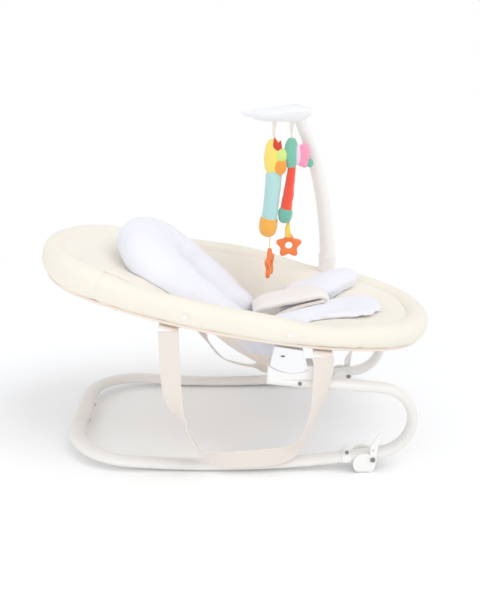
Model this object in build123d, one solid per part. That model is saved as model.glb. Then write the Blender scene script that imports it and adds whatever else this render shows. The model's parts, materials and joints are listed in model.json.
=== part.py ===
"""Rocking baby bouncer seat: a padded oval seat that tilts on two hubs of a bent-tube rocking base.

Frame: +X towards the feet, +Y towards the toy bar's side, +Z up, the floor at z = 0. All sizes are in millimetres.
The near side is -Y. Paired parts are made on the near side and mirrored in the XZ plane.
"""

import os
from math import asin, atan2, cos, degrees, radians, sin, sqrt

from build123d import *

# ---------------------------------------------------------------- base tubes
base_width = 400.0  # between the centre lines of the two runners
tube_width = 33.0  # flattened oval tube, across the bend plane of the runner
tube_height = 20.0
tube_wall = 1.5
rocker_radius = 1950.0  # underside of the runner
rocker_x = -45.0  # where the runner touches the floor
rocker_rear_x = -215.0  # rear end of the rocker arc
rocker_front_x = 281.0  # front end of the rocker arc
rear_corner_radius = 120.0
front_bend_radius = 69.0
top_tube_slope = 6.3  # degrees, the top tube rises towards the hub
top_tube_end_x = 72.0

# ---------------------------------------------------------------- clearances
fit_gap = 0.05  # parts that sit in each other on one body
running_gap = 0.08  # radial, pins that turn or slide
soft_gap = 0.4  # fabric and foam beside anything
air_gap = 1.2  # rigid parts that pass each other

# ---------------------------------------------------------------- rear joint of the base
sleeve_length = 104.0
sleeve_wall = 1.8
tube_end_gap = 2.0
snap_offset = 38.0  # from the middle of the sleeve
snap_radius = 3.4
snap_proud = 2.2
snap_travel = 2.5

# ---------------------------------------------------------------- hub, the pivot between base and seat
hub_x = 96.0
hub_rise = 105.0  # above the height that the front bend gives the top tube
hub_z = 2 * front_bend_radius + hub_rise
saddle_front_x = 144.0
saddle_rear_x = 56.0
saddle_wall = 3.5
saddle_top_drop = 16.0  # below the hub's centre
tower_top_rise = 16.0
tower_slope = 8.0  # fall of the tower's top towards the feet
tower_half_width = 27.0
cover_thickness = 4.0
cover_foot_radius = 44.0
lug_radius = 18.0
lug_half_width = 14.0
lug_thickness = 16.0
lug_outset = -1.0  # lug's middle, outwards from the tube's centre line
bolt_radius = 4.0
bolt_head_radius = 5.5
bolt_head_height = 4.2
nut_radius = 7.0
nut_height = 4.8
lock_pin_radius = 2.5
lock_pin_drop = 13.0
lock_travel = 3.0
lock_button_radius = 6.0
lock_button_height = 4.5
wave_spring_height = 1.6
screw_radius = 2.0
screw_head_radius = 4.0
saddle_screw_x = 117.0

# ---------------------------------------------------------------- stopper feet
stopper_pivot_x = 262.0
stopper_pivot_drop = 4.0  # below the runner's centre line
stopper_foot_back = 16.0  # foot centre behind its pivot
stopper_foot_radius = 22.0
stopper_cheek = 4.0
stopper_sole = 6.0
stopper_flat = 0.9  # the round foot is cut off level by this much
stopper_edge_radius = 10.0
stopper_pin_radius = 3.0
stopper_boss_radius = 8.0
lever_length = 56.0
lever_width = 8.0
clip_wall = 3.0
clip_rear_x = 205.0
clip_front_x = 220.0
clip_screw_lift = 15.0

# ---------------------------------------------------------------- seat frame
seat_rise = 72.0  # of the rim's centre above the hub
seat_slope = 10.4  # degrees, head end up
rim_half_length = 376.0  # centre line of the rim tube
rim_outset = 18.0  # of the rim's side beyond the runner's centre line
rim_end_radius = 175.0
rim_tube_radius = 9.0
rim_tube_wall = 1.2
socket_radius = 13.0
socket_half_length = 35.0

# ---------------------------------------------------------------- soft goods
pad_half_width = 24.0
pad_half_height = 26.0
binding_width = 14.0
binding_height = 6.0
fabric_thickness = 7.0
# inner surface of the seat: height on the rim plane, shift towards the feet, inset from the rim's ends and sides
bowl_insets = [
    (10.0, 0.0, 26.0, 26.0),
    (-4.0, -6.0, 114.0, 46.0),
    (-40.0, 2.0, 162.0, 70.0),
    (-76.0, 16.0, 208.0, 98.0),
    (-108.0, 34.0, 260.0, 130.0),
    (-126.0, 54.0, 298.0, 156.0),
    (-146.0, 76.0, 340.0, 184.0),
]
body_pad_thickness = 12.0
body_pad_rear = -205.0
body_pad_front = 92.0
body_pad_half_width = 88.0
roll_radius = 42.0
roll_half_width = 75.0
roll_head_x = -142.0  # centre of the roll's round end
roll_arm_length = 195.0
roll_slope = 31.0
roll_lift = 26.0
roll_base_depth = 92.0  # of the firm base under the roll, down to the insert
flap_centre = (208.0, 72.0, -6.0)  # along, across and above the rim plane
flap_radii = (84.0, 72.0, 36.0)
flap_gap = 8.0
crotch_rear = 99.0
crotch_thickness = 20.0
crotch_half_width = 27.0
crotch_top = 4.0
belt_width = 56.0
belt_thickness = 5.0
belt_level = -6.0

# ---------------------------------------------------------------- carry straps
carry_width = 38.0
carry_thickness = 3.0
carry_outset = 8.0  # beyond the rim's side
carry_head_s = -124.0  # along the rim plane
carry_foot_s = 169.0
carry_bottom_z = 35.0  # middle of the webbing at its lowest
tab_thickness = 3.4  # sewn tabs that hold the straps under the rim
tab_inset = 8.0  # inwards of the rim's centre line

# ---------------------------------------------------------------- toy bar
post_s = 206.5  # along the rim plane
boss_radius = 19.0
boss_height = 44.0
spigot_radius = 9.0
spigot_length = 22.0
collar_height = 6.0
collar_radius = 19.5
post_bottom_radius = 17.0
post_top_radius = 12.0
post_first_tilt = 4.0
post_last_tilt = 33.0
post_bend_radius = 665.0
post_heading = 224.6  # degrees in plan, inwards and towards the head
plate_bottom_z = 641.0
plate_seam_z = 652.0
plate_top_z = 665.0
plate_tip_x = 7.0
plate_tip_inset = 123.0  # inwards of the rim's side
plate_length = 147.0
plate_half_depth = 28.0
toy_inset = 128.0
toy_a_x = 74.0
toy_b_x = 111.0
ribbon_width = 8.0
ribbon_length = 33.0
star_thickness = 9.0

# ---------------------------------------------------------------- worked out
half_base = base_width / 2
saddle_top_z = hub_z - saddle_top_drop
tower_top_z = hub_z + tower_top_rise
seat_height = hub_z + seat_rise
rim_half_width = half_base + rim_outset
carry_y = rim_half_width + carry_outset
plate_tip_y = rim_half_width - plate_tip_inset
toy_y = rim_half_width - toy_inset
bowl_levels = [
    (level, shift, rim_half_length - end_inset, rim_half_width - side_inset)
    for level, shift, end_inset, side_inset in bowl_insets
]
rocker_line_radius = rocker_radius - tube_height / 2
rear_angle = asin((rocker_x - rocker_rear_x) / rocker_line_radius)
front_angle = asin((rocker_front_x - rocker_x) / rocker_line_radius)
side_plane = Plane(origin=(0, -half_base, 0), x_dir=(1, 0, 0), z_dir=(0, -1, 0))
tilt = radians(seat_slope)
seat_plane = Plane(origin=(0, 0, seat_height), x_dir=(cos(tilt), 0, -sin(tilt)), z_dir=(sin(tilt), 0, cos(tilt)))
rim_side_radius = (rim_half_width**2 + (rim_half_length - rim_end_radius) ** 2 - rim_end_radius**2) / (
    2 * (rim_half_width - rim_end_radius)
)
rim_side_centre = rim_side_radius - rim_half_width
rim_end_centre = rim_half_length - rim_end_radius
rim_side_angle = degrees(atan2(rim_end_centre, rim_side_centre))
hub_angle = degrees(asin(hub_x / cos(tilt) / rim_side_radius))
socket_angle = degrees(socket_half_length / rim_side_radius)
post_angle = degrees(asin(post_s / rim_side_radius))
post_t = rim_side_radius * cos(radians(post_angle)) - rim_side_centre
post_base = seat_plane.from_local_coords((post_s, post_t, 0))


def runner_z(x):
    """Height of the runner's centre line at x."""
    return rocker_radius - sqrt(rocker_line_radius**2 - (x - rocker_x) ** 2)


def mirrored(shape):
    return mirror(shape, about=Plane.XZ)


def swept(profile, path):
    """A planar profile with its x axis square to a planar path's own plane, swept along it."""
    return sweep(profile, path=path)


def side_disc(x, z, radius, inner, outer):
    """A disc in the XZ plane on the near side, from inner to outer distance from the middle plane."""
    start = Plane(origin=(x, -inner, z), x_dir=(1, 0, 0), z_dir=(0, -1, 0))
    return extrude(start * Circle(radius), amount=outer - inner)


def side_plate(points, inner, outer):
    """A polygon of (x, z) points on the near side, from inner to outer distance from the middle plane."""
    start = Plane(origin=(0, -inner, 0), x_dir=(1, 0, 0), z_dir=(0, -1, 0))
    return extrude(start * make_face(Polyline(*points, close=True)), amount=outer - inner)


def side_box(x_low, x_high, inner, outer, z_low, z_high):
    return side_plate([(x_low, z_low), (x_high, z_low), (x_high, z_high), (x_low, z_high)], inner, outer)


# ================================================================ base
rear_plane = Plane(
    origin=(rocker_rear_x, 0, runner_z(rocker_rear_x)),
    x_dir=(-cos(rear_angle), 0, sin(rear_angle)),
    z_dir=(sin(rear_angle), 0, cos(rear_angle)),
)
rear_line = rear_corner_radius  # the rear tube's centre line in the rear plane
corner_y = half_base - rear_corner_radius
front_start = Vector(rocker_front_x, runner_z(rocker_front_x))
bend_centre = front_start + Vector(-sin(front_angle), cos(front_angle)) * front_bend_radius
bend_end_angle = 90 - top_tube_slope
bend_end = bend_centre + Vector(
    front_bend_radius * cos(radians(bend_end_angle)), front_bend_radius * sin(radians(bend_end_angle))
)
top_rise = sin(radians(top_tube_slope)) / cos(radians(top_tube_slope))


def top_tube_z(x):
    return bend_end.Y + (bend_end.X - x) * top_rise


def tube_solid(half_width, half_height, end_x):
    """The near side tube filled solid, for a given half section."""
    pieces = []
    rear_run = rear_plane * Line((rear_line, tube_end_gap / 2, 0), (rear_line, corner_y, 0))
    corner = rear_plane * CenterArc((0, corner_y, 0), rear_corner_radius, 0, 90)
    rocker = side_plane * CenterArc(
        (rocker_x, rocker_radius), rocker_line_radius, -90 - degrees(rear_angle), degrees(rear_angle + front_angle)
    )
    bend_start_angle = -90 + degrees(front_angle)
    bend = side_plane * CenterArc(
        (bend_centre.X, bend_centre.Y), front_bend_radius, bend_start_angle, bend_end_angle - bend_start_angle
    )
    top_run = side_plane * Line((bend_end.X, bend_end.Y), (end_x, top_tube_z(end_x)))
    for path, flat in ((rear_run, False), (corner, False), (rocker, True), (bend, True), (top_run, True)):
        across = Vector(0, 1, 0) if flat else rear_plane.z_dir
        section = Plane(origin=path @ 0, x_dir=across, z_dir=path % 0)
        sizes = (half_width, half_height) if flat else (half_height, half_width)
        pieces.append(swept(section * Ellipse(*sizes), path))
    return Part() + pieces


def top_tube_stretch(half_width, half_height, x_low, x_high):
    path = side_plane * Line((x_low, top_tube_z(x_low)), (x_high, top_tube_z(x_high)))
    section = Plane(origin=path @ 0, x_dir=(0, 1, 0), z_dir=path % 0)
    return swept(section * Ellipse(half_width, half_height), path)


def rear_cylinder(radius, x_low, x_high, y):
    """A cylinder along the rear plane's x axis."""
    start = rear_plane.from_local_coords((x_low, y, 0))
    return extrude(Plane(origin=start, z_dir=rear_plane.x_dir) * Circle(radius), amount=x_high - x_low)


inner_wall_x = rear_line - tube_width / 2 + tube_wall
sleeve_face_x = rear_line - tube_width / 2 - fit_gap - sleeve_wall


def base_tube():
    """Rear corner, rocker runner, front bend and top tube, bent from one oval tube."""
    tube = tube_solid(tube_width / 2, tube_height / 2, top_tube_end_x) - tube_solid(
        tube_width / 2 - tube_wall, tube_height / 2 - tube_wall, top_tube_end_x - 1
    )
    tube -= rear_cylinder(snap_radius + running_gap, sleeve_face_x - 5, rear_line, snap_offset)
    outer = half_base + tube_width / 2
    tube -= side_disc(saddle_screw_x, top_tube_z(saddle_screw_x), screw_radius + fit_gap, half_base, outer + 5)
    pivot_z = runner_z(stopper_pivot_x) - stopper_pivot_drop
    tube -= side_disc(stopper_pivot_x, pivot_z, stopper_pin_radius + fit_gap, half_base - 30, outer + 5)
    return tube


def rear_sleeve():
    """Oval sleeve over the two tube ends at the middle of the rear."""
    start = Plane(
        origin=rear_plane.from_local_coords((rear_line, -sleeve_length / 2, 0)),
        x_dir=rear_plane.x_dir,
        z_dir=rear_plane.y_dir,
    )
    inner = (tube_width / 2 + fit_gap, tube_height / 2 + fit_gap)
    ring = Ellipse(inner[0] + sleeve_wall, inner[1] + sleeve_wall) - Ellipse(*inner)
    sleeve = extrude(start * ring, amount=sleeve_length)
    for side in (-1, 1):
        hole_y = side * snap_offset
        sleeve -= rear_cylinder(snap_radius + running_gap, sleeve_face_x - 1, rear_line, hole_y)
    return sleeve


def snap_button():
    """Round button with an inner flange; local y is positive on the near side."""
    head = rear_cylinder(snap_radius, sleeve_face_x - snap_proud, inner_wall_x + 3.2, snap_offset)
    flange = rear_cylinder(snap_radius + 1.4, inner_wall_x + 2.8, inner_wall_x + 4.0, snap_offset)
    return head + flange


def snap_spring():
    """Leaf spring behind a snap button, standing on the tube's outer wall."""
    leaf_x = inner_wall_x + 4.0 + snap_travel + 0.3
    far_x = rear_line + tube_width / 2 - tube_wall - 0.9
    leaf = Box(1, 16, 8, align=(Align.MIN, Align.CENTER, Align.CENTER))
    leg = Box(far_x - leaf_x, 1, 4, align=(Align.MIN, Align.CENTER, Align.CENTER))
    spring = Pos(leaf_x, snap_offset, 0) * leaf + Pos(leaf_x, snap_offset + 7.5, 0) * leg
    return rear_plane.location * spring


# ================================================================ hub on the base
saddle_outer = half_base + tube_width / 2 + saddle_wall
saddle_inner = half_base - tube_width / 2 - saddle_wall
lug_outer = half_base + lug_outset + lug_thickness / 2
lug_inner = half_base + lug_outset - lug_thickness / 2
cheek_outer = saddle_outer - cover_thickness - fit_gap


def cover_outline(grow):
    """Fan-shaped outline of the hub cover, with an arc along its foot."""
    left_top = (hub_x - tower_half_width - grow, tower_top_z + grow)
    right_top = (hub_x + tower_half_width + grow, tower_top_z - tower_slope + grow)
    right_foot = (hub_x + tower_half_width + 9 + grow, saddle_top_z - 8)
    left_foot = (hub_x - tower_half_width - 9 - grow, saddle_top_z)
    foot = ThreePointArc(right_foot, (hub_x, saddle_top_z - 13 - grow), left_foot)
    return Polyline(left_foot, left_top, right_top, right_foot) + foot


def fan(grow, inner, outer):
    start = Plane(origin=(0, -inner, 0), x_dir=(1, 0, 0), z_dir=(0, -1, 0))
    return extrude(start * make_face(cover_outline(grow)), amount=outer - inner)


def hub_saddle():
    """Moulded saddle on the top tube with the two cheeks that hold the seat's lug."""
    skin = saddle_wall
    saddle = top_tube_stretch(tube_width / 2 + skin, tube_height / 2 + skin, saddle_rear_x, saddle_front_x)
    saddle += side_box(saddle_rear_x + 1, saddle_front_x - 1, saddle_inner, saddle_outer, 200, saddle_top_z)
    tower = [
        (hub_x - tower_half_width - 8, saddle_top_z - 20),
        (hub_x + tower_half_width + 8, saddle_top_z - 20),
        (hub_x + tower_half_width, tower_top_z - tower_slope),
        (hub_x - tower_half_width, tower_top_z),
    ]
    saddle += side_plate(tower, saddle_inner, cheek_outer)
    saddle -= fan(0.6, cheek_outer, saddle_outer + 5)
    saddle -= top_tube_stretch(
        tube_width / 2 + fit_gap, tube_height / 2 + fit_gap, top_tube_end_x - fit_gap, saddle_front_x + 20
    )
    pocket = lug_radius + 0.8
    saddle -= side_box(
        hub_x - pocket, hub_x + pocket, lug_inner - 0.3, lug_outer + 0.3, hub_z - pocket, tower_top_z + 20
    )
    saddle -= side_disc(hub_x, hub_z, bolt_radius + fit_gap, saddle_inner - 5, saddle_outer)
    saddle -= side_disc(hub_x, hub_z, nut_radius + 0.6, cheek_outer - nut_height - 0.4, saddle_outer)
    saddle -= side_disc(hub_x, hub_z - lock_pin_drop, lock_pin_radius + running_gap, saddle_inner - 5, lug_inner)
    screw_z = top_tube_z(saddle_screw_x)
    saddle -= side_disc(saddle_screw_x, screw_z, screw_radius + fit_gap, half_base, saddle_outer + 1)
    saddle -= side_disc(saddle_screw_x, screw_z, screw_head_radius + fit_gap, saddle_outer - 1, saddle_outer + 5)
    return saddle


def hub_cover():
    """Thin outer shell over the saddle's tower, with a small moulded slot."""
    shell = fan(0, cheek_outer + fit_gap, saddle_outer)
    slot = side_box(hub_x - 16, hub_x - 8, saddle_outer - 1.5, saddle_outer + 1, hub_z - 2, hub_z + 1)
    return shell - slot


def pivot_bolt():
    head = side_disc(hub_x, hub_z, bolt_head_radius, saddle_inner - bolt_head_height, saddle_inner - fit_gap)
    return head + side_disc(hub_x, hub_z, bolt_radius, saddle_inner - bolt_head_height, cheek_outer - 0.2)


def pivot_nut():
    start = Plane(origin=(hub_x, -(cheek_outer - nut_height - 0.2), hub_z), x_dir=(1, 0, 0), z_dir=(0, -1, 0))
    hexagon = RegularPolygon(nut_radius, 6) - Circle(bolt_radius + fit_gap)
    return extrude(start * hexagon, amount=nut_height)


def saddle_screw():
    z = top_tube_z(saddle_screw_x)
    shank = side_disc(saddle_screw_x, z, screw_radius, half_base + 10, saddle_outer)
    return shank + side_disc(saddle_screw_x, z, screw_head_radius, saddle_outer - 0.9, saddle_outer + 1)


lock_z = hub_z - lock_pin_drop
lock_button_face = saddle_inner - wave_spring_height - lock_travel - 0.4


def recline_button():
    """Push button on the saddle's inner cheek; when it is pressed, its plunger meets the lug."""
    head = side_disc(hub_x, lock_z, lock_button_radius, lock_button_face - lock_button_height, lock_button_face)
    return head + side_disc(hub_x, lock_z, lock_pin_radius, lock_button_face, lug_inner - lock_travel - fit_gap)


def recline_spring():
    ring = side_disc(hub_x, lock_z, lock_button_radius - 0.5, saddle_inner - wave_spring_height, saddle_inner)
    return ring - side_disc(hub_x, lock_z, lock_pin_radius + 0.4, saddle_inner - 10, saddle_inner + 1)


# ================================================================ stopper on the runner
pivot_z = runner_z(stopper_pivot_x) - stopper_pivot_drop
foot_x = stopper_pivot_x - stopper_foot_back
foot_half = tube_width / 2 + 0.7 + stopper_cheek


def stopper_foot():
    """Shoe that straddles the runner and reaches the floor, with a finger lever on its outer cheek."""
    centre_z = stopper_foot_radius - stopper_flat
    disc = side_disc(foot_x, centre_z, stopper_foot_radius, half_base - foot_half, half_base + foot_half)
    hull = Plane(origin=(foot_x - 60, 0, 0), x_dir=(0, 1, 0), z_dir=(1, 0, 0))
    rounded = Pos(-half_base, 50) * RectangleRounded(foot_half * 2, 100, stopper_edge_radius)
    foot = disc & extrude(hull * rounded, amount=120)
    for side in (-1, 1):
        inner = half_base + side * foot_half - (stopper_cheek if side > 0 else 0)
        foot += side_disc(stopper_pivot_x, pivot_z, stopper_boss_radius, inner, inner + stopper_cheek)
    lean = lever_length * 0.2
    blade = [
        (stopper_pivot_x - 6, pivot_z + 3),
        (stopper_pivot_x + 6, pivot_z + 1),
        (stopper_pivot_x + lean + 2, pivot_z + lever_length),
        (stopper_pivot_x + lean - 3, pivot_z + lever_length - 4),
        (stopper_pivot_x - 5, pivot_z + lever_length * 0.5),
    ]
    foot += side_plate(blade, half_base + foot_half - stopper_cheek, half_base + foot_half)
    channel = tube_width / 2 + 0.7
    foot -= side_box(foot_x - 40, foot_x + 60, half_base - channel, half_base + channel, stopper_sole, 120)
    foot -= side_box(foot_x - 40, foot_x - 9, half_base - channel, half_base + channel, -5, 120)
    bore = stopper_pin_radius + running_gap
    foot -= side_disc(stopper_pivot_x, pivot_z, bore, half_base - 40, half_base + 40)
    slot_z = pivot_z + lever_length * 0.36
    foot -= side_disc(stopper_pivot_x, slot_z, 2.4, half_base, half_base + 40)
    return foot


def stopper_pivot():
    reach = foot_half + 0.4
    pin = side_disc(stopper_pivot_x, pivot_z, stopper_pin_radius, half_base - reach, half_base + reach)
    head = side_disc(stopper_pivot_x, pivot_z, stopper_pin_radius + 2, half_base + reach, half_base + reach + 1.5)
    back = side_disc(stopper_pivot_x, pivot_z, stopper_pin_radius + 2, half_base - reach - 1.5, half_base - reach)
    return pin + head + back


clip_screw_x = (clip_rear_x + clip_front_x) / 2
clip_screw_z = runner_z(clip_screw_x) + clip_screw_lift


def stopper_clip():
    """Clip over the runner behind the foot, closed by a screw above the tube."""
    first = asin((clip_rear_x - rocker_x) / rocker_line_radius)
    last = asin((clip_front_x - rocker_x) / rocker_line_radius)
    path = side_plane * CenterArc(
        (rocker_x, rocker_radius), rocker_line_radius, -90 + degrees(first), degrees(last - first)
    )
    section = Plane(origin=path @ 0, x_dir=(0, 1, 0), z_dir=path % 0)
    inner = (tube_width / 2 + fit_gap, tube_height / 2 + fit_gap)
    outer = Ellipse(inner[0] + clip_wall, inner[1] + clip_wall)
    clip = swept(section * outer, path)
    clip += side_disc(clip_screw_x, clip_screw_z, 6, half_base - 10, half_base + 12)
    clip -= side_box(clip_rear_x - 20, clip_front_x + 20, half_base - 60, half_base + 60, -20, runner_z(clip_rear_x) - 3)
    clip -= swept(section * Ellipse(*inner), path)
    return clip - side_disc(clip_screw_x, clip_screw_z, screw_radius + fit_gap, half_base - 20, half_base + 20)


def clip_screw():
    shank = side_disc(clip_screw_x, clip_screw_z, screw_radius, half_base - 10, half_base + 12)
    return shank + side_disc(clip_screw_x, clip_screw_z, screw_head_radius, half_base + 12, half_base + 13.5)


# ================================================================ seat, built flat and laid on the seat plane
def rim_arcs(first, last):
    """Rim centre line in the rim plane from one angle on the near side, round the feet, to one on the far side."""
    near = CenterArc((0, rim_side_centre), rim_side_radius, -90 + first, rim_side_angle - first)
    end = CenterArc((rim_end_centre, 0), rim_end_radius, -90 + rim_side_angle, 180 - 2 * rim_side_angle)
    far = CenterArc((0, -rim_side_centre), rim_side_radius, 90 - rim_side_angle, rim_side_angle - last)
    return Wire([near.edge(), end.edge(), far.edge()])


def rim_sweep(profile, path):
    section = Plane(origin=path @ 0, x_dir=Vector(0, 0, 1).cross(path % 0), z_dir=path % 0)
    return sweep(section * profile, path=path)


def rim_ring(profile):
    """A profile carried right round the rim, in two halves that meet at the widest points."""
    foot_half_ring = rim_sweep(profile, rim_arcs(0, 0))
    head_half_ring = foot_half_ring.rotate(Axis.Z, 180)
    return foot_half_ring + head_half_ring


def side_arc(middle, half_angle, far=False):
    """A short stretch of the rim's side, centred on an angle from the widest point."""
    if far:
        return CenterArc((0, -rim_side_centre), rim_side_radius, 90 - middle - half_angle, 2 * half_angle)
    return CenterArc((0, rim_side_centre), rim_side_radius, -90 + middle - half_angle, 2 * half_angle)


def stretch(radius, middle, half_angle, far=False):
    path = side_arc(middle, half_angle, far)
    section = Plane(origin=path @ 0, z_dir=path % 0)
    return sweep(section * Circle(radius), path=path)


def on_seat(shape):
    return seat_plane.location * shape


end_gap_angle = degrees(1.0 / rim_side_radius)
tube_ring = Circle(rim_tube_radius) - Circle(rim_tube_radius - rim_tube_wall)


def rim_tube_foot():
    return on_seat(rim_sweep(tube_ring, rim_arcs(hub_angle + end_gap_angle, hub_angle + end_gap_angle)))


def rim_tube_head():
    angle = -hub_angle + end_gap_angle
    return on_seat(rim_sweep(tube_ring, rim_arcs(angle, angle)).rotate(Axis.Z, 180))


def lug_keepout():
    """Space kept clear in the soft parts for the near bracket's lug and the hub's tower."""
    return side_box(
        hub_x - lug_half_width - 6, hub_x + lug_half_width + 6, lug_inner - 2, lug_outer + 2, hub_z, seat_height - 10
    )


def seat_bracket():
    """Socket that joins the head and foot tubes, with the lug that hangs into the hub."""
    bracket = on_seat(stretch(socket_radius, hub_angle, socket_angle))
    lug_top = seat_height - hub_x * sin(tilt) / cos(tilt)
    bracket += side_box(hub_x - lug_half_width, hub_x + lug_half_width, lug_inner, lug_outer, hub_z, lug_top)
    bracket += side_disc(hub_x, hub_z, lug_radius, lug_inner, lug_outer)
    bracket -= on_seat(stretch(rim_tube_radius + fit_gap, hub_angle, socket_angle + 1))
    bracket -= side_disc(hub_x, hub_z, bolt_radius + running_gap, lug_inner - 1, lug_outer + 1)
    return bracket


def toy_bar_socket():
    """Clamp on the far rim tube with an upright boss for the toy bar."""
    clamp = on_seat(stretch(socket_radius, post_angle, degrees(22 / rim_side_radius), far=True))
    boss = Pos(post_base) * Cylinder(boss_radius, boss_height, align=(Align.CENTER, Align.CENTER, Align.MIN))
    bore = Pos(post_base + Vector(0, 0, boss_height - spigot_length)) * Cylinder(
        spigot_radius + running_gap, spigot_length + 1, align=(Align.CENTER, Align.CENTER, Align.MIN)
    )
    tube = on_seat(stretch(rim_tube_radius + fit_gap, post_angle, degrees(60 / rim_side_radius), far=True))
    return clamp + boss - bore - tube


def oval(half_length, half_width):
    """Four-arc oval like the rim's, for any half length and half width."""
    end_radius = half_width * rim_end_radius / rim_half_width
    end_centre = half_length - end_radius
    side_radius = (half_width**2 + end_centre**2 - end_radius**2) / (2 * (half_width - end_radius))
    side_centre = side_radius - half_width
    turn = degrees(atan2(end_centre, side_centre))
    arcs = [
        CenterArc((0, side_centre), side_radius, -90 - turn, 2 * turn),
        CenterArc((end_centre, 0), end_radius, -90 + turn, 180 - 2 * turn),
        CenterArc((0, -side_centre), side_radius, 90 - turn, 2 * turn),
        CenterArc((-end_centre, 0), end_radius, 90 + turn, 180 - 2 * turn),
    ]
    return make_face(Wire([arc.edge() for arc in arcs]))


def bowl(shrink, lift=0.0, up=0.0):
    """The seat's inner space: shrunk in plan, lifted, and carried straight up by a height above its top level."""
    rings = []
    for level, shift, half_length, half_width in reversed(bowl_levels):
        a = half_length - shrink
        b = half_width - shrink
        rings.append(Pos(shift, 0, level + lift) * oval(a, b))
    space = loft(rings, ruled=True)
    if up:
        space += extrude(rings[-1], amount=up)
    return space


def seat_bowl():
    """Fabric bucket that hangs inside the rim."""
    outer = bowl(-fabric_thickness)
    floor_level = bowl_levels[-1]
    floor = Pos(floor_level[1], 0, floor_level[0] - 2 * fabric_thickness / 3) * extrude(
        oval(floor_level[2] + fabric_thickness - 3, floor_level[3] + fabric_thickness - 3),
        amount=fabric_thickness,
    )
    shell = outer + floor - bowl(0, lift=0, up=20)
    pad_space = rim_ring(Ellipse(pad_half_width + soft_gap, pad_half_height + soft_gap))
    shell = on_seat(shell - pad_space)
    return shell - lug_keepout() - mirrored(lug_keepout())


def rim_pad():
    """Foam and fabric roll round the rim tube, cut out for the brackets, the lugs and the toy bar's boss."""
    pad = rim_ring(Ellipse(pad_half_width, pad_half_height) - Circle(rim_tube_radius + soft_gap))
    for far in (False, True):
        pad -= stretch(socket_radius + soft_gap, hub_angle, socket_angle + 0.2, far)
    pad -= stretch(socket_radius + soft_gap, post_angle, degrees(24 / rim_side_radius), far=True)
    pad = on_seat(pad)
    boss = Pos(post_base) * Cylinder(boss_radius + soft_gap, 80, align=(Align.CENTER, Align.CENTER, Align.MIN))
    return pad - boss - lug_keepout() - mirrored(lug_keepout())


def rim_binding():
    """Woven edge tape under the rim padding."""
    drop = pad_half_height + 0.3 + binding_height / 2
    tape = on_seat(rim_ring(Pos(0, -drop) * Rectangle(binding_width, binding_height)))
    return tape - lug_keepout() - mirrored(lug_keepout())


def rim_box(x_low, x_high, y_low, y_high, z_low=-200, z_high=200):
    return Pos(x_low, y_low, z_low) * Box(
        x_high - x_low, y_high - y_low, z_high - z_low, align=(Align.MIN, Align.MIN, Align.MIN)
    )


def body_pad():
    """Central pad of the newborn insert, lying on the bucket."""
    layer = bowl(soft_gap, lift=soft_gap) - bowl(soft_gap, lift=soft_gap + body_pad_thickness, up=60)
    area = rim_box(body_pad_rear, body_pad_front, -body_pad_half_width, body_pad_half_width)
    return on_seat(layer & area)


def head_roll():
    """U-shaped head support roll, open towards the feet."""
    lay = Plane(
        origin=(roll_head_x, 0, roll_lift),
        x_dir=(cos(radians(roll_slope)), 0, -sin(radians(roll_slope))),
        z_dir=(sin(radians(roll_slope)), 0, cos(radians(roll_slope))),
    )
    near = Line((roll_arm_length, -roll_half_width), (0, -roll_half_width))
    round_end = CenterArc((0, 0), roll_half_width, 270, -180)
    far = Line((0, roll_half_width), (roll_arm_length, roll_half_width))
    path = Wire([near.edge(), round_end.edge(), far.edge()])
    base = Pos(0, -roll_base_depth / 2) * Rectangle(2 * roll_radius, roll_base_depth)
    roll = lay.location * rim_sweep(Circle(roll_radius) + base, path)
    above_pad = bowl(soft_gap, lift=body_pad_thickness + 2 * soft_gap, up=160)
    return on_seat(roll & above_pad)


def leg_flap():
    """Near leg flap of the insert, a crowned pad that lies on the foot end of the bucket."""
    s, t, n = flap_centre
    crown = Location((s, -t, n)) * scale(Sphere(1), by=flap_radii)
    side = rim_box(s - 200, s + 200, -300, -flap_gap / 2)
    return on_seat(crown & side & bowl(soft_gap, lift=soft_gap, up=80))


def crotch_pad():
    """Upright pad between the legs."""
    front = crotch_rear + crotch_thickness
    area = rim_box(crotch_rear, front, -crotch_half_width, crotch_half_width, -200, crotch_top)
    return on_seat(bowl(soft_gap, lift=soft_gap) & area)


def waist_belt():
    """Near half of the padded belt across the lap, from the crotch pad to the bucket's side."""
    front = crotch_rear + crotch_thickness
    low = belt_level - belt_thickness / 2
    area = rim_box(front - belt_width, front, -200, -crotch_half_width - soft_gap, low, low + belt_thickness)
    return on_seat(bowl(soft_gap, lift=soft_gap) & area)


def rim_stud(x):
    """Press stud on the near side of the rim padding."""
    s = x / cos(tilt)
    angle = asin(s / rim_side_radius)
    centre = seat_plane.from_local_coords((s, -(rim_side_radius * cos(angle) - rim_side_centre) - pad_half_width, 0))
    stud = side_disc(centre.X, centre.Z, 5, -centre.Y - 3, -centre.Y + 2.5)
    return stud - on_seat(rim_ring(Ellipse(pad_half_width + 0.2, pad_half_height + 0.2)))


# ================================================================ carry straps
carry_level = -(pad_half_height + 0.3 + binding_height + 0.3 + tab_thickness / 2)  # on the rim plane


def rim_half_width_at(s):
    """Distance of the rim's centre line from the middle plane."""
    return sqrt(rim_side_radius**2 - s**2) - rim_side_centre


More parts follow.
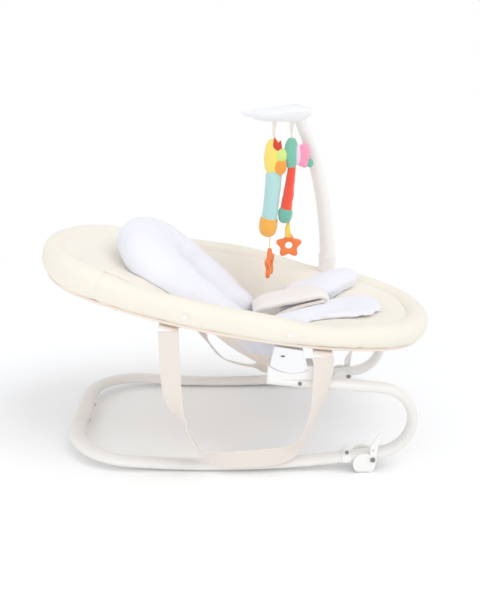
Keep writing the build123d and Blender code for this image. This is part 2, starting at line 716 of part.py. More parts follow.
def carry_strap():
    """Near webbing loop hanging in an upright plane from two sewn tabs."""
    head = seat_plane.from_local_coords((carry_head_s, 0, carry_level))
    foot = seat_plane.from_local_coords((carry_foot_s, 0, carry_level))
    plane = Plane(origin=(0, -carry_y, 0), x_dir=(1, 0, 0), z_dir=(0, -1, 0))
    low = carry_bottom_z
    points = [
        (head.X, head.Z + 8),
        (head.X + 4, low + 172),
        (head.X + 38, low + 53),
        (head.X + 84, low + 9),
        (head.X + 148, low),
        (foot.X - 63, low + 18),
        (foot.X - 29, low + 70),
        (foot.X - 17, low + 118),
        (foot.X - 5, low + 178),
        (foot.X, foot.Z + 8),
    ]
    path = plane * Spline(*points)
    section = Plane(origin=path @ 0, x_dir=(0, 1, 0), z_dir=path % 0)
    strap = sweep(section * Rectangle(carry_thickness, carry_width), path=path)
    above = Pos(0, 0, carry_level) * Box(1000, 1000, 60, align=(Align.CENTER, Align.CENTER, Align.MIN))
    strap -= on_seat(above)
    for s in (carry_head_s, carry_foot_s):
        start = Plane(origin=(s - carry_width / 2 + 1, -carry_y, carry_level), z_dir=(1, 0, 0))
        strap += on_seat(extrude(start * Circle(carry_thickness / 2), amount=carry_width - 2))
    return strap


def strap_tab(s):
    """Webbing tab sewn under the rim's binding; the carry strap hangs from its outer edge."""
    inner = rim_half_width_at(s) - tab_inset
    outer = carry_y - carry_thickness / 2 - 0.5
    half = carry_width / 2
    low = carry_level - tab_thickness / 2
    return on_seat(rim_box(s - half, s + half, -outer, -inner, low, low + tab_thickness))


# ================================================================ toy bar
collar_z = post_base.Z + boss_height + 0.3


def post_section(tilt_angle, share):
    """Round section of the post at a tilt from upright; share runs from 0 at its foot to 1 at its head."""
    heading = radians(post_heading)
    a = radians(tilt_angle)
    a0 = radians(post_first_tilt)
    out = post_bend_radius * (cos(a0) - cos(a))
    up = post_bend_radius * (sin(a) - sin(a0))
    level = Vector(cos(heading), sin(heading), 0)
    centre = Vector(post_base.X, post_base.Y, collar_z + collar_height) + level * out + Vector(0, 0, up)
    radius = post_bottom_radius + (post_top_radius - post_bottom_radius) * share
    return Plane(origin=centre, z_dir=level * sin(a) + Vector(0, 0, cos(a))) * Circle(radius)


def toy_post():
    """Tapered curved post with a spigot that turns in the socket's boss."""
    steps = 6
    sections = []
    for step in range(steps + 1):
        share = step / steps
        sections.append(post_section(post_first_tilt + (post_last_tilt - post_first_tilt) * share, share))
    post = loft(sections)
    foot = Pos(post_base.X, post_base.Y, collar_z + collar_height) * Cylinder(
        post_bottom_radius + 0.5, 2.4, align=(Align.CENTER, Align.CENTER, Align.CENTER)
    )
    spigot = Pos(post_base.X, post_base.Y, collar_z - spigot_length + 0.5) * Cylinder(
        spigot_radius, spigot_length + collar_height + 2, align=(Align.CENTER, Align.CENTER, Align.MIN)
    )
    ceiling = Pos(post_base.X - 100, post_base.Y - 100, plate_bottom_z) * Box(
        400, 400, 200, align=(Align.CENTER, Align.CENTER, Align.MIN)
    )
    below = Pos(post_base.X, post_base.Y, collar_z) * Cylinder(
        60, collar_height + 0.1, align=(Align.CENTER, Align.CENTER, Align.MIN)
    )
    return (post + foot - ceiling - below) + spigot


def toy_collar():
    """Ring at the foot of the post."""
    ring = Cylinder(collar_radius, collar_height, align=(Align.CENTER, Align.CENTER, Align.MIN))
    ring -= Cylinder(spigot_radius + fit_gap, collar_height * 3)
    return Pos(post_base.X, post_base.Y, collar_z) * ring


def plate_outline(shrink):
    """Leaf outline of the toy plate, pointed towards the head and forked towards the feet."""
    x0, y0 = plate_tip_x + shrink * 3, plate_tip_y
    x1 = plate_tip_x + plate_length - shrink
    d = plate_half_depth - shrink
    back = ThreePointArc((x0, y0), (x0 + 62, y0 + d * 0.82), (x1 - 34, y0 + d))
    back_lobe = ThreePointArc((x1 - 34, y0 + d), (x1, y0 + d * 0.74), (x1 - 16, y0 + 2))
    front_lobe = ThreePointArc((x1 - 16, y0 + 2), (x1 - 5, y0 - d * 0.62), (x1 - 36, y0 - d * 0.9))
    front = ThreePointArc((x1 - 36, y0 - d * 0.9), (x0 + 58, y0 - d * 0.72), (x0, y0))
    return make_face(Wire([back.edge(), back_lobe.edge(), front_lobe.edge(), front.edge()]))


def plate_top():
    shell = loft([Pos(0, 0, plate_seam_z + 0.1) * plate_outline(0), Pos(0, 0, plate_top_z) * plate_outline(4)])
    return shell


def plate_bottom():
    return loft([Pos(0, 0, plate_bottom_z) * plate_outline(11), Pos(0, 0, plate_seam_z) * plate_outline(0)])


# ================================================================ toys
def ribbon(x, top, length, width, thickness=1.5):
    return Pos(x, toy_y, top) * Box(width, thickness, length, align=(Align.CENTER, Align.CENTER, Align.MAX))


def ellipsoid(centre, radii):
    return Location(centre) * scale(Sphere(1), by=radii)


def limb(top, bottom, top_radius, bottom_radius):
    """Tapered round toy body with a domed foot."""
    axis = Vector(*bottom) - Vector(*top)
    start = Plane(origin=top, z_dir=axis)
    end = Plane(origin=bottom, z_dir=axis)
    body = loft([start * Circle(top_radius), end * Circle(bottom_radius)])
    return body + Pos(*bottom) * Sphere(bottom_radius)


def star(radius, waist, hole, thickness):
    """Five-point star ring, flat in the XZ plane with one point up."""
    points = []
    for corner in range(10):
        r = radius if corner % 2 == 0 else waist
        angle = radians(90 + corner * 36)
        points.append((r * cos(angle), r * sin(angle)))
    outline = fillet(make_face(Polyline(*points, close=True)).vertices(), 5)
    body = extrude(Plane.XZ * (outline - Circle(hole)), amount=thickness / 2, both=True)
    return body


toy_top_z = plate_bottom_z - 0.3
toy_a_body_top = (toy_a_x, toy_y, 535.0)
toy_a_body_bottom = (toy_a_x - 9, toy_y, 414.0)
toy_b_body_top = (toy_b_x + 1, toy_y, 544.0)
toy_b_body_bottom = (toy_b_x - 6, toy_y, 440.0)
toy_a_string_z = 395.0
toy_b_loop_z = 425.0


def toy_a_parts():
    head = ellipsoid((toy_a_x + 1, toy_y, 567), (21, 15, 36))
    crest = ellipsoid((toy_a_x + 17, toy_y, 596), (6, 4, 8)) - ellipsoid((toy_a_x + 1, toy_y, 567), (21.2, 15.2, 36.2))
    body = limb(toy_a_body_top, toy_a_body_bottom, 16, 19) - ellipsoid((toy_a_x + 1, toy_y, 567), (21.2, 15.2, 36.2))
    string = Pos(toy_a_x - 8, toy_y, toy_a_string_z - 0.3) * Cylinder(1.1, 24, align=(Align.CENTER, Align.CENTER, Align.MAX))
    ring = Pos(toy_a_x - 8, toy_y, toy_a_string_z - 24 - 29.9) * star(34, 19, 8, star_thickness).rotate(Axis.Z, 68)
    loop = ribbon(toy_a_x, toy_top_z, ribbon_length + 4, ribbon_width) - ellipsoid(
        (toy_a_x + 1, toy_y, 567), (21.2, 15.2, 36.2)
    )
    return {
        "toy_a_ribbon": loop,
        "toy_a_head": head,
        "toy_a_crest": crest,
        "toy_a_body": body,
        "toy_a_string": string,
        "toy_a_star": ring,
    }


def toy_b_parts():
    skull = (toy_b_x + 1, toy_y, 575)
    size = (15.5, 14, 31)
    grown = (15.7, 14.2, 31.2)
    head = ellipsoid(skull, size)
    snout = ellipsoid((toy_b_x + 22, toy_y, 570), (13, 9, 20)) - ellipsoid(skull, grown)
    body = limb(toy_b_body_top, toy_b_body_bottom, 13, 14.5) - ellipsoid(skull, grown)
    loop = ribbon(toy_b_x - 2, toy_b_loop_z - 0.3, 26, 9)
    ring = Pos(toy_b_x - 1, toy_y, toy_b_loop_z - 26 - 24.3) * star(28, 16, 8, star_thickness)
    strip = ribbon(toy_b_x, toy_top_z, ribbon_length + 4, ribbon_width) - ellipsoid(skull, grown)
    return {
        "toy_b_ribbon": strip,
        "toy_b_head": head,
        "toy_b_snout": snout,
        "toy_b_body": body,
        "toy_b_loop": loop,
        "toy_b_star": ring,
    }


# ================================================================ every node
def both(name, maker):
    near = maker()
    return {name + "_near": near, name + "_far": mirrored(near)}


def group(maker):
    near = maker()
    return Compound(children=[*Part(near).solids(), *Part(mirrored(near)).solids()])


def stud_group():
    studs = []
    for x in (hub_x, -hub_x):
        near = rim_stud(x)
        studs += [*near.solids(), *mirrored(near).solids()]
    return Compound(children=studs)


def tab_group():
    tabs = []
    for s in (carry_head_s, carry_foot_s):
        near = strap_tab(s)
        tabs += [near, mirrored(near)]
    return Compound(children=tabs)


def make_nodes():
    nodes = {}
    nodes |= both("base_tube", base_tube)
    nodes["rear_sleeve"] = rear_sleeve()
    nodes |= both("snap_button", snap_button)
    nodes["snap_springs"] = group(snap_spring)
    nodes |= both("hub_saddle", hub_saddle)
    nodes |= both("hub_cover", hub_cover)
    nodes["pivot_bolts"] = group(pivot_bolt)
    nodes["pivot_nuts"] = group(pivot_nut)
    nodes["saddle_screws"] = group(saddle_screw)
    nodes |= both("recline_button", recline_button)
    nodes["recline_springs"] = group(recline_spring)
    nodes |= both("stopper_foot", stopper_foot)
    nodes["stopper_pivots"] = group(stopper_pivot)
    nodes |= both("stopper_clip", stopper_clip)
    nodes["clip_screws"] = group(clip_screw)
    nodes["rim_tube_head"] = rim_tube_head()
    nodes["rim_tube_foot"] = rim_tube_foot()
    nodes |= both("seat_bracket", seat_bracket)
    nodes["rim_pad"] = rim_pad()
    nodes["rim_binding"] = rim_binding()
    nodes["seat_bowl"] = seat_bowl()
    nodes["body_pad"] = body_pad()
    nodes["head_roll"] = head_roll()
    nodes |= both("leg_flap", leg_flap)
    nodes["crotch_pad"] = crotch_pad()
    nodes |= both("waist_belt", waist_belt)
    nodes["rim_studs"] = stud_group()
    nodes["strap_tabs"] = tab_group()
    nodes |= both("carry_strap", carry_strap)
    nodes["toy_bar_socket"] = toy_bar_socket()
    nodes["toy_collar"] = toy_collar()
    nodes["toy_post"] = toy_post()
    nodes["toy_plate_top"] = plate_top()
    nodes["toy_plate_bottom"] = plate_bottom()
    nodes |= toy_a_parts()
    nodes |= toy_b_parts()
    return nodes


os.makedirs("parts", exist_ok=True)
for node, shape in make_nodes().items():
    export_step(shape, f"parts/{node}.step")
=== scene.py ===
# %% [markdown]
# # A rocking bouncer seat
# The hard parts of this seat, its bent tubes, saddles and screws, come ready made from a CAD model. This script dresses
# that frame: it sews the padded oval seat, the U-shaped head pillow, the leg flaps, the harness and the carry straps,
# stuffs the hanging toys, and gives every piece its finish.

# %% Load the CAD frame
import json
from functools import partial
from math import atan2, cos, exp, pi, radians, sin, sqrt

import bmesh
import bpy
from mathutils import Matrix, Vector, noise
from mathutils.bvhtree import BVHTree

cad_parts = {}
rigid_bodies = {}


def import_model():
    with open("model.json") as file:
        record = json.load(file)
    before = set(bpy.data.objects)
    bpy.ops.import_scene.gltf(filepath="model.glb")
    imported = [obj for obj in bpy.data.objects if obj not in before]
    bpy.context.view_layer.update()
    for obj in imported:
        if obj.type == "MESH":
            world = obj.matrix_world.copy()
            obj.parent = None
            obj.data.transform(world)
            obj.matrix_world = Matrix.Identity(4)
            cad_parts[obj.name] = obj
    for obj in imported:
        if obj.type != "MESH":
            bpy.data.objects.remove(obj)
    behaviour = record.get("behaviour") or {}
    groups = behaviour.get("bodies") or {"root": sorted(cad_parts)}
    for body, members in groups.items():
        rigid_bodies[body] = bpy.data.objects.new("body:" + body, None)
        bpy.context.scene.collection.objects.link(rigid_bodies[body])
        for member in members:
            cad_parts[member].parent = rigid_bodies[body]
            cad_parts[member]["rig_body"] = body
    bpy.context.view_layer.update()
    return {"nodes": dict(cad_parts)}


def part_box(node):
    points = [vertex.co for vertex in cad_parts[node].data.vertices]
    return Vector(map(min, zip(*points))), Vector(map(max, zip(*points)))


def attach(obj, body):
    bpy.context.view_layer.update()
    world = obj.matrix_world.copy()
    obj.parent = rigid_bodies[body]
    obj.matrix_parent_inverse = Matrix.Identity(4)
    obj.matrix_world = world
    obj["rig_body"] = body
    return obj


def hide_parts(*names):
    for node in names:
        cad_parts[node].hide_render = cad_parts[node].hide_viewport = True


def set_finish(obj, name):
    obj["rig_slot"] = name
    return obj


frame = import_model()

# %% [markdown]
# ## The seat's own directions
# The oval rim is flat, but it leans: the head end is higher. Everything soft is easier to shape on that leaning plane,
# with one number along the seat, one across it and one above it. One small function turns the three into a place, and
# another goes the other way.

# %% Seat plane
SEAT_HEIGHT = 0.315
SEAT_SLOPE = radians(10.4)
RIM_HALF_LENGTH, RIM_HALF_WIDTH = 0.376, 0.218
END_SHARE = 175 / 218  # radius of the oval's ends, as a share of its half width
END_TURN = 0.42  # share of a quarter's points that lie on the end arc


def seat(along, across, above):
    """The place of a point given on the seat's leaning plane."""
    x = along * cos(SEAT_SLOPE) + above * sin(SEAT_SLOPE)
    return Vector((x, across, SEAT_HEIGHT - along * sin(SEAT_SLOPE) + above * cos(SEAT_SLOPE)))


def off_seat(point):
    """How far a place lies along the seat and above its plane."""
    height = point.z - SEAT_HEIGHT
    return (
        point.x * cos(SEAT_SLOPE) - height * sin(SEAT_SLOPE),
        point.x * sin(SEAT_SLOPE) + height * cos(SEAT_SLOPE),
    )


def oval(half_length, half_width, turn):
    """Point and outward direction on a four-arc oval; turn runs from 0 at the head, round the near side, to 1."""
    end_radius = half_width * END_SHARE
    end_centre = half_length - end_radius
    side_radius = (half_width**2 + end_centre**2 - end_radius**2) / (2 * (half_width - end_radius))
    side_centre = side_radius - half_width
    lean = atan2(end_centre, side_centre)
    quarter, part = divmod(turn % 1 * 4, 1)
    part = part if quarter in (0, 2) else 1 - part  # from an end to a side
    if part < END_TURN:
        angle = part / END_TURN * (pi / 2 - lean)
        along, across = end_centre + end_radius * cos(angle), end_radius * sin(angle)
    else:
        angle = pi / 2 - lean + (part - END_TURN) / (1 - END_TURN) * lean
        along, across = side_radius * cos(angle), side_radius * sin(angle) - side_centre
    sign_along = -1 if quarter in (0, 3) else 1
    sign_across = -1 if quarter in (0, 1) else 1
    return (sign_along * along, sign_across * across), (sign_along * cos(angle), sign_across * sin(angle))


def smooth(low, high, value):
    """0 below low, 1 above high, and an easy curve between."""
    share = min(1.0, max(0.0, (value - low) / (high - low)))
    return share * share * (3 - 2 * share)


def blend_list(rows, share):
    """A smooth curve through rows of numbers; share runs from 0 at the first row to 1 at the last."""
    place = min(max(share, 0.0), 1.0) * (len(rows) - 1)
    index = min(int(place), len(rows) - 2)
    t = place - index
    before, start = rows[max(index - 1, 0)], rows[index]
    end, after = rows[index + 1], rows[min(index + 2, len(rows) - 1)]
    result = []
    for a, b, c, d in zip(before, start, end, after):
        result.append(b + 0.5 * t * (c - a + t * (2 * a - 5 * b + 4 * c - d + t * (3 * (b - c) + d - a))))
    return result


def signed_power(value, power):
    """The size of a number raised to a power, with its sign kept; a power under 1 squares a round section."""
    return abs(value) ** power * (1 if value > 0 else -1)


print("rim end at", [round(value, 3) for value in seat(*oval(RIM_HALF_LENGTH, RIM_HALF_WIDTH, 0)[0], 0)])

# %% [markdown]
# ## Camera and light
# The seat stands in a white studio. A long lens a little above the rim looks along the floor, one large soft lamp
# stands on the right, and the rest is pale light from all round.


# %% Camera
def stand(data, place, target):
    """Puts a camera or a lamp at a place and turns it to its target."""
    thing = bpy.data.objects.new(data.name, data)
    bpy.context.scene.collection.objects.link(thing)
    thing.location = place
    thing.rotation_euler = (target - thing.location).to_track_quat("-Z", "Y").to_euler()
    return thing


camera_data = bpy.data.cameras.new("camera")
camera_data.lens = 54.3
camera_data.sensor_width = 36
camera_target = Vector((0.005, 0, 0.2835))
camera = stand(camera_data, (-0.003, -1.783, 0.8975), camera_target)
bpy.context.scene.camera = camera
bpy.context.scene.view_settings.view_transform = "Standard"
print("camera distance", round((camera_target - camera.location).length, 3))

# %% [markdown]
# ## Small helpers for shaping
# An operator works on everything that is selected, so each step starts by selecting nothing. Soft shapes are skins:
# rows of points, each row a closed loop, joined into a surface with its unrolled lengths kept as a UV map.

# %% Shaping helpers
def select_only(piece):
    for other in bpy.context.selected_objects:
        other.select_set(False)
    piece.select_set(True)
    bpy.context.view_layer.objects.active = piece


def apply_all(piece):
    """Applies the modifiers, then the piece's place, so that its object sits at the origin."""
    select_only(piece)
    for modifier in list(piece.modifiers):
        bpy.ops.object.modifier_apply(modifier=modifier.name)
    bpy.ops.object.transform_apply(location=True, rotation=True, scale=True)


def add_modifier(piece, kind, **settings):
    modifier = piece.modifiers.new(kind.lower(), kind)
    for name, value in settings.items():
        setattr(modifier, name, value)
    return modifier


def smooth_shade(piece, angle=None):
    select_only(piece)
    if angle is None:
        bpy.ops.object.shade_smooth()
    else:
        bpy.ops.object.shade_smooth_by_angle(angle=radians(angle))


def subdivide(piece, angle=None):
    add_modifier(piece, "SUBSURF", levels=1, render_levels=1)
    apply_all(piece)
    smooth_shade(piece, angle)


def in_mm(*rows):
    """Rows of numbers given in millimetres."""
    return [tuple(value / 1000 for value in row) for row in rows]


def skin(name, rows, closed_loop=False, capped=True):
    """A surface through closed rows of points. UV is in metres: round a row, then from row to row."""
    mesh = bpy.data.meshes.new(name)
    build = bmesh.new()
    uv_layer = build.loops.layers.uv.new("UVMap")
    count = len(rows[0])
    points = [[build.verts.new(point) for point in row] for row in rows]
    steps = len(rows) if closed_loop else len(rows) - 1
    travel = [0.0]
    for index in range(1, len(rows) + 1):
        one, two = rows[index - 1], rows[index % len(rows)]
        travel.append(travel[-1] + sum((a - b).length for a, b in zip(one, two)) / count)
    girth = [0.0]
    middle = rows[len(rows) // 2]
    for index in range(1, count + 1):
        girth.append(girth[-1] + (middle[index % count] - middle[index - 1]).length)
    for j in range(steps):
        for i in range(count):
            k, m = (i + 1) % count, (j + 1) % len(rows)
            face = build.faces.new((points[j][i], points[j][k], points[m][k], points[m][i]))
            corners = ((i, j), (i + 1, j), (i + 1, j + 1), (i, j + 1))
            for loop, (a, b) in zip(face.loops, corners):
                loop[uv_layer].uv = (girth[a], travel[b])
            face.smooth = True
    if capped and not closed_loop:
        for row in (points[0], points[-1]):
            hub = build.verts.new(sum((v.co for v in row), Vector()) / count)
            for i in range(count):
                face = build.faces.new((row[i], row[(i + 1) % count], hub))
                face.smooth = True
    bmesh.ops.recalc_face_normals(build, faces=build.faces)
    build.to_mesh(mesh)
    build.free()
    piece = bpy.data.objects.new(name, mesh)
    bpy.context.scene.collection.objects.link(piece)
    return piece


def tube_rows(points, half_sizes, side, count=24, power=1.0):
    """Rows round a path; half_sizes holds (sideways, upwards) at each point, side one sideways direction or a list."""
    rows = []
    for index, point in enumerate(points):
        before, after = points[max(index - 1, 0)], points[min(index + 1, len(points) - 1)]
        forward = (after - before).normalized()
        hint = side[index] if isinstance(side, list) else side
        sideways = (hint - forward * hint.dot(forward)).normalized()
        upwards = forward.cross(sideways)
        wide, tall = half_sizes[index]
        row = []
        for step in range(count):
            angle = 2 * pi * step / count
            c, s = signed_power(cos(angle), power), signed_power(sin(angle), power)
            row.append(point + sideways * wide * c + upwards * tall * s)
        rows.append(row)
    return rows


print("helpers ready")

# %% [markdown]
# ## Writing shaders as sums
# A node tree is easier to read as arithmetic. A Wire holds one socket, and an expression on it adds Math nodes. A
# Shading holds one node tree, and its node method makes every node: type, settings, then socket values or wires.


# %% Shader helpers
class Wire:
    """One output socket that can be used in a sum."""

    def __init__(self, shading, socket):
        self.shading, self.socket = shading, socket

    def __add__(self, other):
        return self.shading.maths("ADD", self, other)

    __radd__ = __add__

    def __mul__(self, other):
        return self.shading.maths("MULTIPLY", self, other)

    __rmul__ = __mul__

    def __sub__(self, other):
        return self.shading.maths("SUBTRACT", self, other)

    def __rsub__(self, other):
        return self.shading.maths("SUBTRACT", other, self)

    def sine(self):
        return self.shading.maths("SINE", self)

    def size(self):
        return self.shading.maths("ABSOLUTE", self)

    def step(self, low, high):
        """0 below low, 1 above high, eased between."""
        return self.shading.node(
            "ShaderNodeMapRange", {"interpolation_type": "SMOOTHSTEP"}, self, low, high, 0.0, 1.0
        )


def rgb(code):
    """Linear colour of a six-figure hex code."""
    values = [int(code[i : i + 2], 16) / 255 for i in (0, 2, 4)]
    return tuple(v / 12.92 if v <= 0.04045 else ((v + 0.055) / 1.055) ** 2.4 for v in values) + (1.0,)


class Shading:
    """A node tree in the making."""

    def __init__(self, tree):
        self.tree = tree

    def node(self, kind, settings, *values, out=0, **sockets):
        """Makes a node; out is one output or a tuple of them, and a socket's name has _ for a space."""
        node = self.tree.nodes.new(kind)
        for name, value in settings.items():
            setattr(node, name, value)
        for socket, value in zip(node.inputs, values):
            self.plug(socket, value)
        for name, value in sockets.items():
            self.plug(node.inputs[name.replace("_", " ")], value)
        if isinstance(out, tuple):
            return [Wire(self, node.outputs[key]) for key in out]
        return Wire(self, node.outputs[out])

    def plug(self, socket, value):
        if isinstance(value, Wire):
            self.tree.links.new(value.socket, socket)
        elif value is not None:
            socket.default_value = value

    def maths(self, operation, *values):
        return self.node("ShaderNodeMath", {"operation": operation}, *values)


class Finish(Shading):
    """A material in the making, round one Principled shader."""

    def __init__(self, name, colour, roughness=0.6, **sockets):
        self.material = bpy.data.materials.new(name)
        self.material.use_nodes = True
        super().__init__(self.material.node_tree)
        self.shader = self.tree.nodes["Principled BSDF"]
        self.base = rgb(colour)
        self.material.diffuse_color = self.base
        self.colour(self.base)
        self.rough(roughness)
        for socket, value in sockets.items():
            self.plug(self.shader.inputs[socket.replace("_", " ")], value)

    def place(self, kind="Object"):
        return self.node("ShaderNodeTexCoord", {}, out=kind)

    def split(self, vector):
        return self.node("ShaderNodeSeparateXYZ", {}, vector, out=(0, 1, 2))

    def attribute(self, name):
        return self.node("ShaderNodeAttribute", {"attribute_name": name}, out="Fac")

    def clouds(self, scale, detail=3.0):
        """Soft noise from 0 to 1."""
        return self.node("ShaderNodeTexNoise", {}, out="Fac", Vector=self.place(), Scale=scale, Detail=detail)

    def mix(self, share, one, two):
        """Blends two colours; the gaps are the sockets for numbers and vectors."""
        gaps = [None] * 5
        return self.node("ShaderNodeMix", {"data_type": "RGBA"}, share, *gaps, one, two, out=2)

    def colour(self, value):
        self.plug(self.shader.inputs["Base Color"], value)

    def rough(self, value):
        self.plug(self.shader.inputs["Roughness"], value)

    def relief(self, height, depth, strength=1.0):
        """Bump of that depth, in metres."""
        normal = self.node("ShaderNodeBump", {}, Strength=strength, Distance=depth, Height=height)
        self.plug(self.shader.inputs["Normal"], normal)


def dress(piece, finish, slot_name):
    """Gives a new piece its material and names the record's slot."""
    piece.data.materials.clear()
    piece.data.materials.append(finish.material)
    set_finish(piece, slot_name)


def repaint(node_name, finish):
    """Gives a CAD node a better material."""
    node = frame["nodes"][node_name]
    node.data.materials.clear()
    node.data.materials.append(finish.material)


print("shader helpers ready")

# %% [markdown]
# ## Fabrics
# The cover is a fine cream jersey: tiny rows of stitches, a soft sheen and a hardly visible unevenness. The pillow is
# a whiter, furrier plush. Webbing and tape are woven, so their pattern follows the strap through its UV map.


# %% Jersey and plush
def jersey(name, colour, shade, stitch=0.0011):
    finish = Finish(name, colour, roughness=0.85, Sheen_Weight=0.25, Sheen_Roughness=0.5)
    u, v, _ = finish.split(finish.place("UV"))
    column = (u * (2 * pi / stitch)).sine()
    row = (v * (2 * pi / (stitch * 1.3)) + column * 0.6).sine()
    cloth = finish.clouds(9.0)
    fibre = finish.clouds(420.0, detail=2.0)
    finish.colour(finish.mix(cloth * 0.5 + fibre * 0.3, finish.base, rgb(shade)))
    finish.rough(0.8 + 0.12 * fibre)
    finish.relief(column * 0.25 + row * 0.3 + fibre * 0.5, depth=0.0003, strength=0.6)
    return finish


def plush(name, colour, shade, pile=700.0, sheen=0.5):
    finish = Finish(name, colour, roughness=0.95, Sheen_Weight=sheen, Sheen_Roughness=0.6)
    tufts = finish.clouds(pile, detail=4.0)
    drift = finish.clouds(28.0)
    finish.colour(finish.mix(tufts * 0.45 + drift * 0.35, finish.base, rgb(shade)))
    finish.rough(0.88 + 0.1 * tufts)
    finish.relief(tufts + 0.5 * drift, depth=0.0006, strength=0.7)
    return finish


cream = jersey("cream jersey", "F9F4E7", "F2EADB")
insert_plush = plush("insert plush", "F4F4FA", "EAEAF3", pile=900.0, sheen=0.3)
toy_cloth = {  # finish and slot
    name: (plush(name, colour, shade), slot_name)
    for name, colour, shade, slot_name in (
        ("yellow plush", "FDEB7C", "F7DC62", "yellow_plush"),
        ("lime plush", "DDF295", "C9E27A", "yellow_plush"),
        ("orange plush", "FFAB45", "F3962F", "yellow_plush"),
        ("amber plush", "FFBC4C", "F3A93A", "yellow_plush"),
        ("aqua plush", "BDE5E2", "A9D9D6", "aqua_plush"),
        ("green plush", "84C9B2", "6DB89F", "green_plush"),
        ("pink plush", "FFA6C4", "F78FB3", "pink_plush"),
        ("pale lilac plush", "F4DCEB", "E9CDDF", "pink_plush"),
        ("coral plush", "FD5433", "EE4427", "coral_plush"),
        ("red felt", "E2402C", "CB3222", "red_plush"),
        ("teal plush", "79C3AE", "66B29C", "green_plush"),
    )
}

WEBBING_HALF = 0.019  # half the width of the carry straps' webbing


# %% Woven straps
def woven(name, colour, shade, rib=0.0022, lean=1.0, depth=0.00035):
    finish = Finish(name, colour, roughness=0.8, Sheen_Weight=0.15, Sheen_Roughness=0.5)
    u, v, _ = finish.split(finish.place("UV"))
    herring = ((u - WEBBING_HALF).size() * lean + v) * (2 * pi / rib)
    rib_line = herring.sine()
    cross = (u * (2 * pi / (rib * 0.5))).sine()
    fibre = finish.clouds(600.0, detail=2.0)
    finish.colour(finish.mix(rib_line * 0.18 + fibre * 0.35 + 0.1, finish.base, rgb(shade)))
    finish.rough(0.74 + 0.14 * fibre)
    finish.relief(rib_line * 0.6 + cross * 0.2 + fibre * 0.3, depth=depth, strength=0.8)
    return finish


webbing = woven("beige webbing", "F5ECE3", "EADFD3")
tape = woven("beige edge tape", "FCF0E4", "F3E2D0", rib=0.003, lean=0.0)
harness_cloth = jersey("harness cloth", "F9F5F1", "F0E9E2", stitch=0.0014)
ribbon_white = woven("white ribbon", "F6F0E6", "E6DDCF", rib=0.0012, depth=0.0001)
ribbon_yellow = woven("yellow ribbon", "FBD968", "EFC549", rib=0.0012, depth=0.0001)

# %% [markdown]
# ## Plastic, tube and steel
# The moulded parts are a warm white with a very fine grain. The base tubes are powder coated, which leaves a faint
# orange peel and a soft gloss. Screws and pins are dull zinc, and the teether stars are satin rubber.


# %% Hard finishes
def moulded(name, colour, shade, roughness=0.42, grain=1500.0, depth=0.00004):
    finish = Finish(name, colour, roughness=roughness, Specular_IOR_Level=0.45)
    speck = finish.clouds(grain, detail=2.0)
    cloud = finish.clouds(14.0)
    finish.colour(finish.mix(cloud * 0.6 + speck * 0.15, finish.base, rgb(shade)))
    finish.rough(roughness - 0.05 + 0.12 * speck)
    finish.relief(speck, depth=depth)
    return finish


plastic = moulded("white moulded plastic", "F7F6F3", "EFEDEA")
plastic_cover = moulded("hub cover plastic", "F5F5F6", "EDEDEF", roughness=0.36)
plastic_grey = moulded("grey moulded plastic", "CFCECC", "C2C1BF")
coat = moulded("powder coat", "F0EDE9", "E6E2DD", roughness=0.32, grain=330.0, depth=0.00005)
rubber = moulded("teether rubber", "FB8A48", "F57C3A", roughness=0.5, grain=900.0)
# a dark finish used only as painted shade: the shadow inside each hub cover's slot
dark = moulded("dark recess", "55504B", "45413D", roughness=0.7)
zinc = moulded("dull zinc", "9C9893", "7F7B76", roughness=0.38, grain=260.0)
zinc.shader.inputs["Metallic"].default_value = 0.85
print("finishes:", len(bpy.data.materials))

# %% [markdown]
# ## Stuffing with the cloth solver
# A sewn pad is a fabric bag that its filling pushes outwards. Blender's cloth does the same: an even mesh, a little air
# pressure and no gravity. How far a point may move is capped, so the pad keeps its size. Only the head pillow and the
# leg flaps are stuffed in this way; the other pads are shaped directly.


# %% Stuffing helper
FILLING_PRESSURE, FILLING_FRAMES, FABRIC_STIFFNESS, FABRIC_BENDING = 4.0, 16, 12, 0.4
STUFFING_VOXEL = 0.005


def stuff(piece, cap):
    """Puffs up a closed soft piece; no point moves further than the cap."""
    start_points = len(piece.data.vertices)
    add_modifier(piece, "REMESH", mode="VOXEL", voxel_size=STUFFING_VOXEL, use_smooth_shade=True)
    apply_all(piece)
    before = [vertex.co.copy() for vertex in piece.data.vertices]
    cloth = add_modifier(piece, "CLOTH")
    cloth.settings.quality = 4
    cloth.settings.use_pressure = True
    cloth.settings.uniform_pressure_force = FILLING_PRESSURE
    cloth.settings.effector_weights.gravity = 0
    cloth.settings.tension_stiffness = cloth.settings.compression_stiffness = FABRIC_STIFFNESS
    cloth.settings.bending_stiffness = FABRIC_BENDING
    cloth.collision_settings.use_collision = False
    scene = bpy.context.scene
    for frame_number in range(1, FILLING_FRAMES + 1):
        scene.frame_set(frame_number)
    solved = piece.evaluated_get(bpy.context.evaluated_depsgraph_get()).data
    moved = [vertex.co.copy() for vertex in solved.vertices]
    piece.modifiers.remove(cloth)
    scene.frame_set(1)
    for vertex, old, new in zip(piece.data.vertices, before, moved):
        step = new - old
        if step.length > cap:
            step *= cap / step.length
        vertex.co = old + step
    add_modifier(piece, "SMOOTH", factor=0.5, iterations=3)
    subdivide(piece)
    print(piece.name, "stuffed:", start_points, "to", len(piece.data.vertices), "points")


def creases(point, seed, scale, reach):
    """A small push along the surface normal, from smooth noise, in metres."""
    return noise.noise(Vector((point[0] * scale[0], point[1] * scale[1], point[2] * scale[2] + seed))) * reach


# %% [markdown]
# ## The padded rim
# A tube of foam in a jersey sleeve runs round the whole oval. At the head it is thickest and stands up like a
# bolster; on the sides, near the hubs, it is pulled flatter. A swept section whose size follows the turn shows this
# best. Dents, gathers and a stitched line give it the look of foam under fabric.


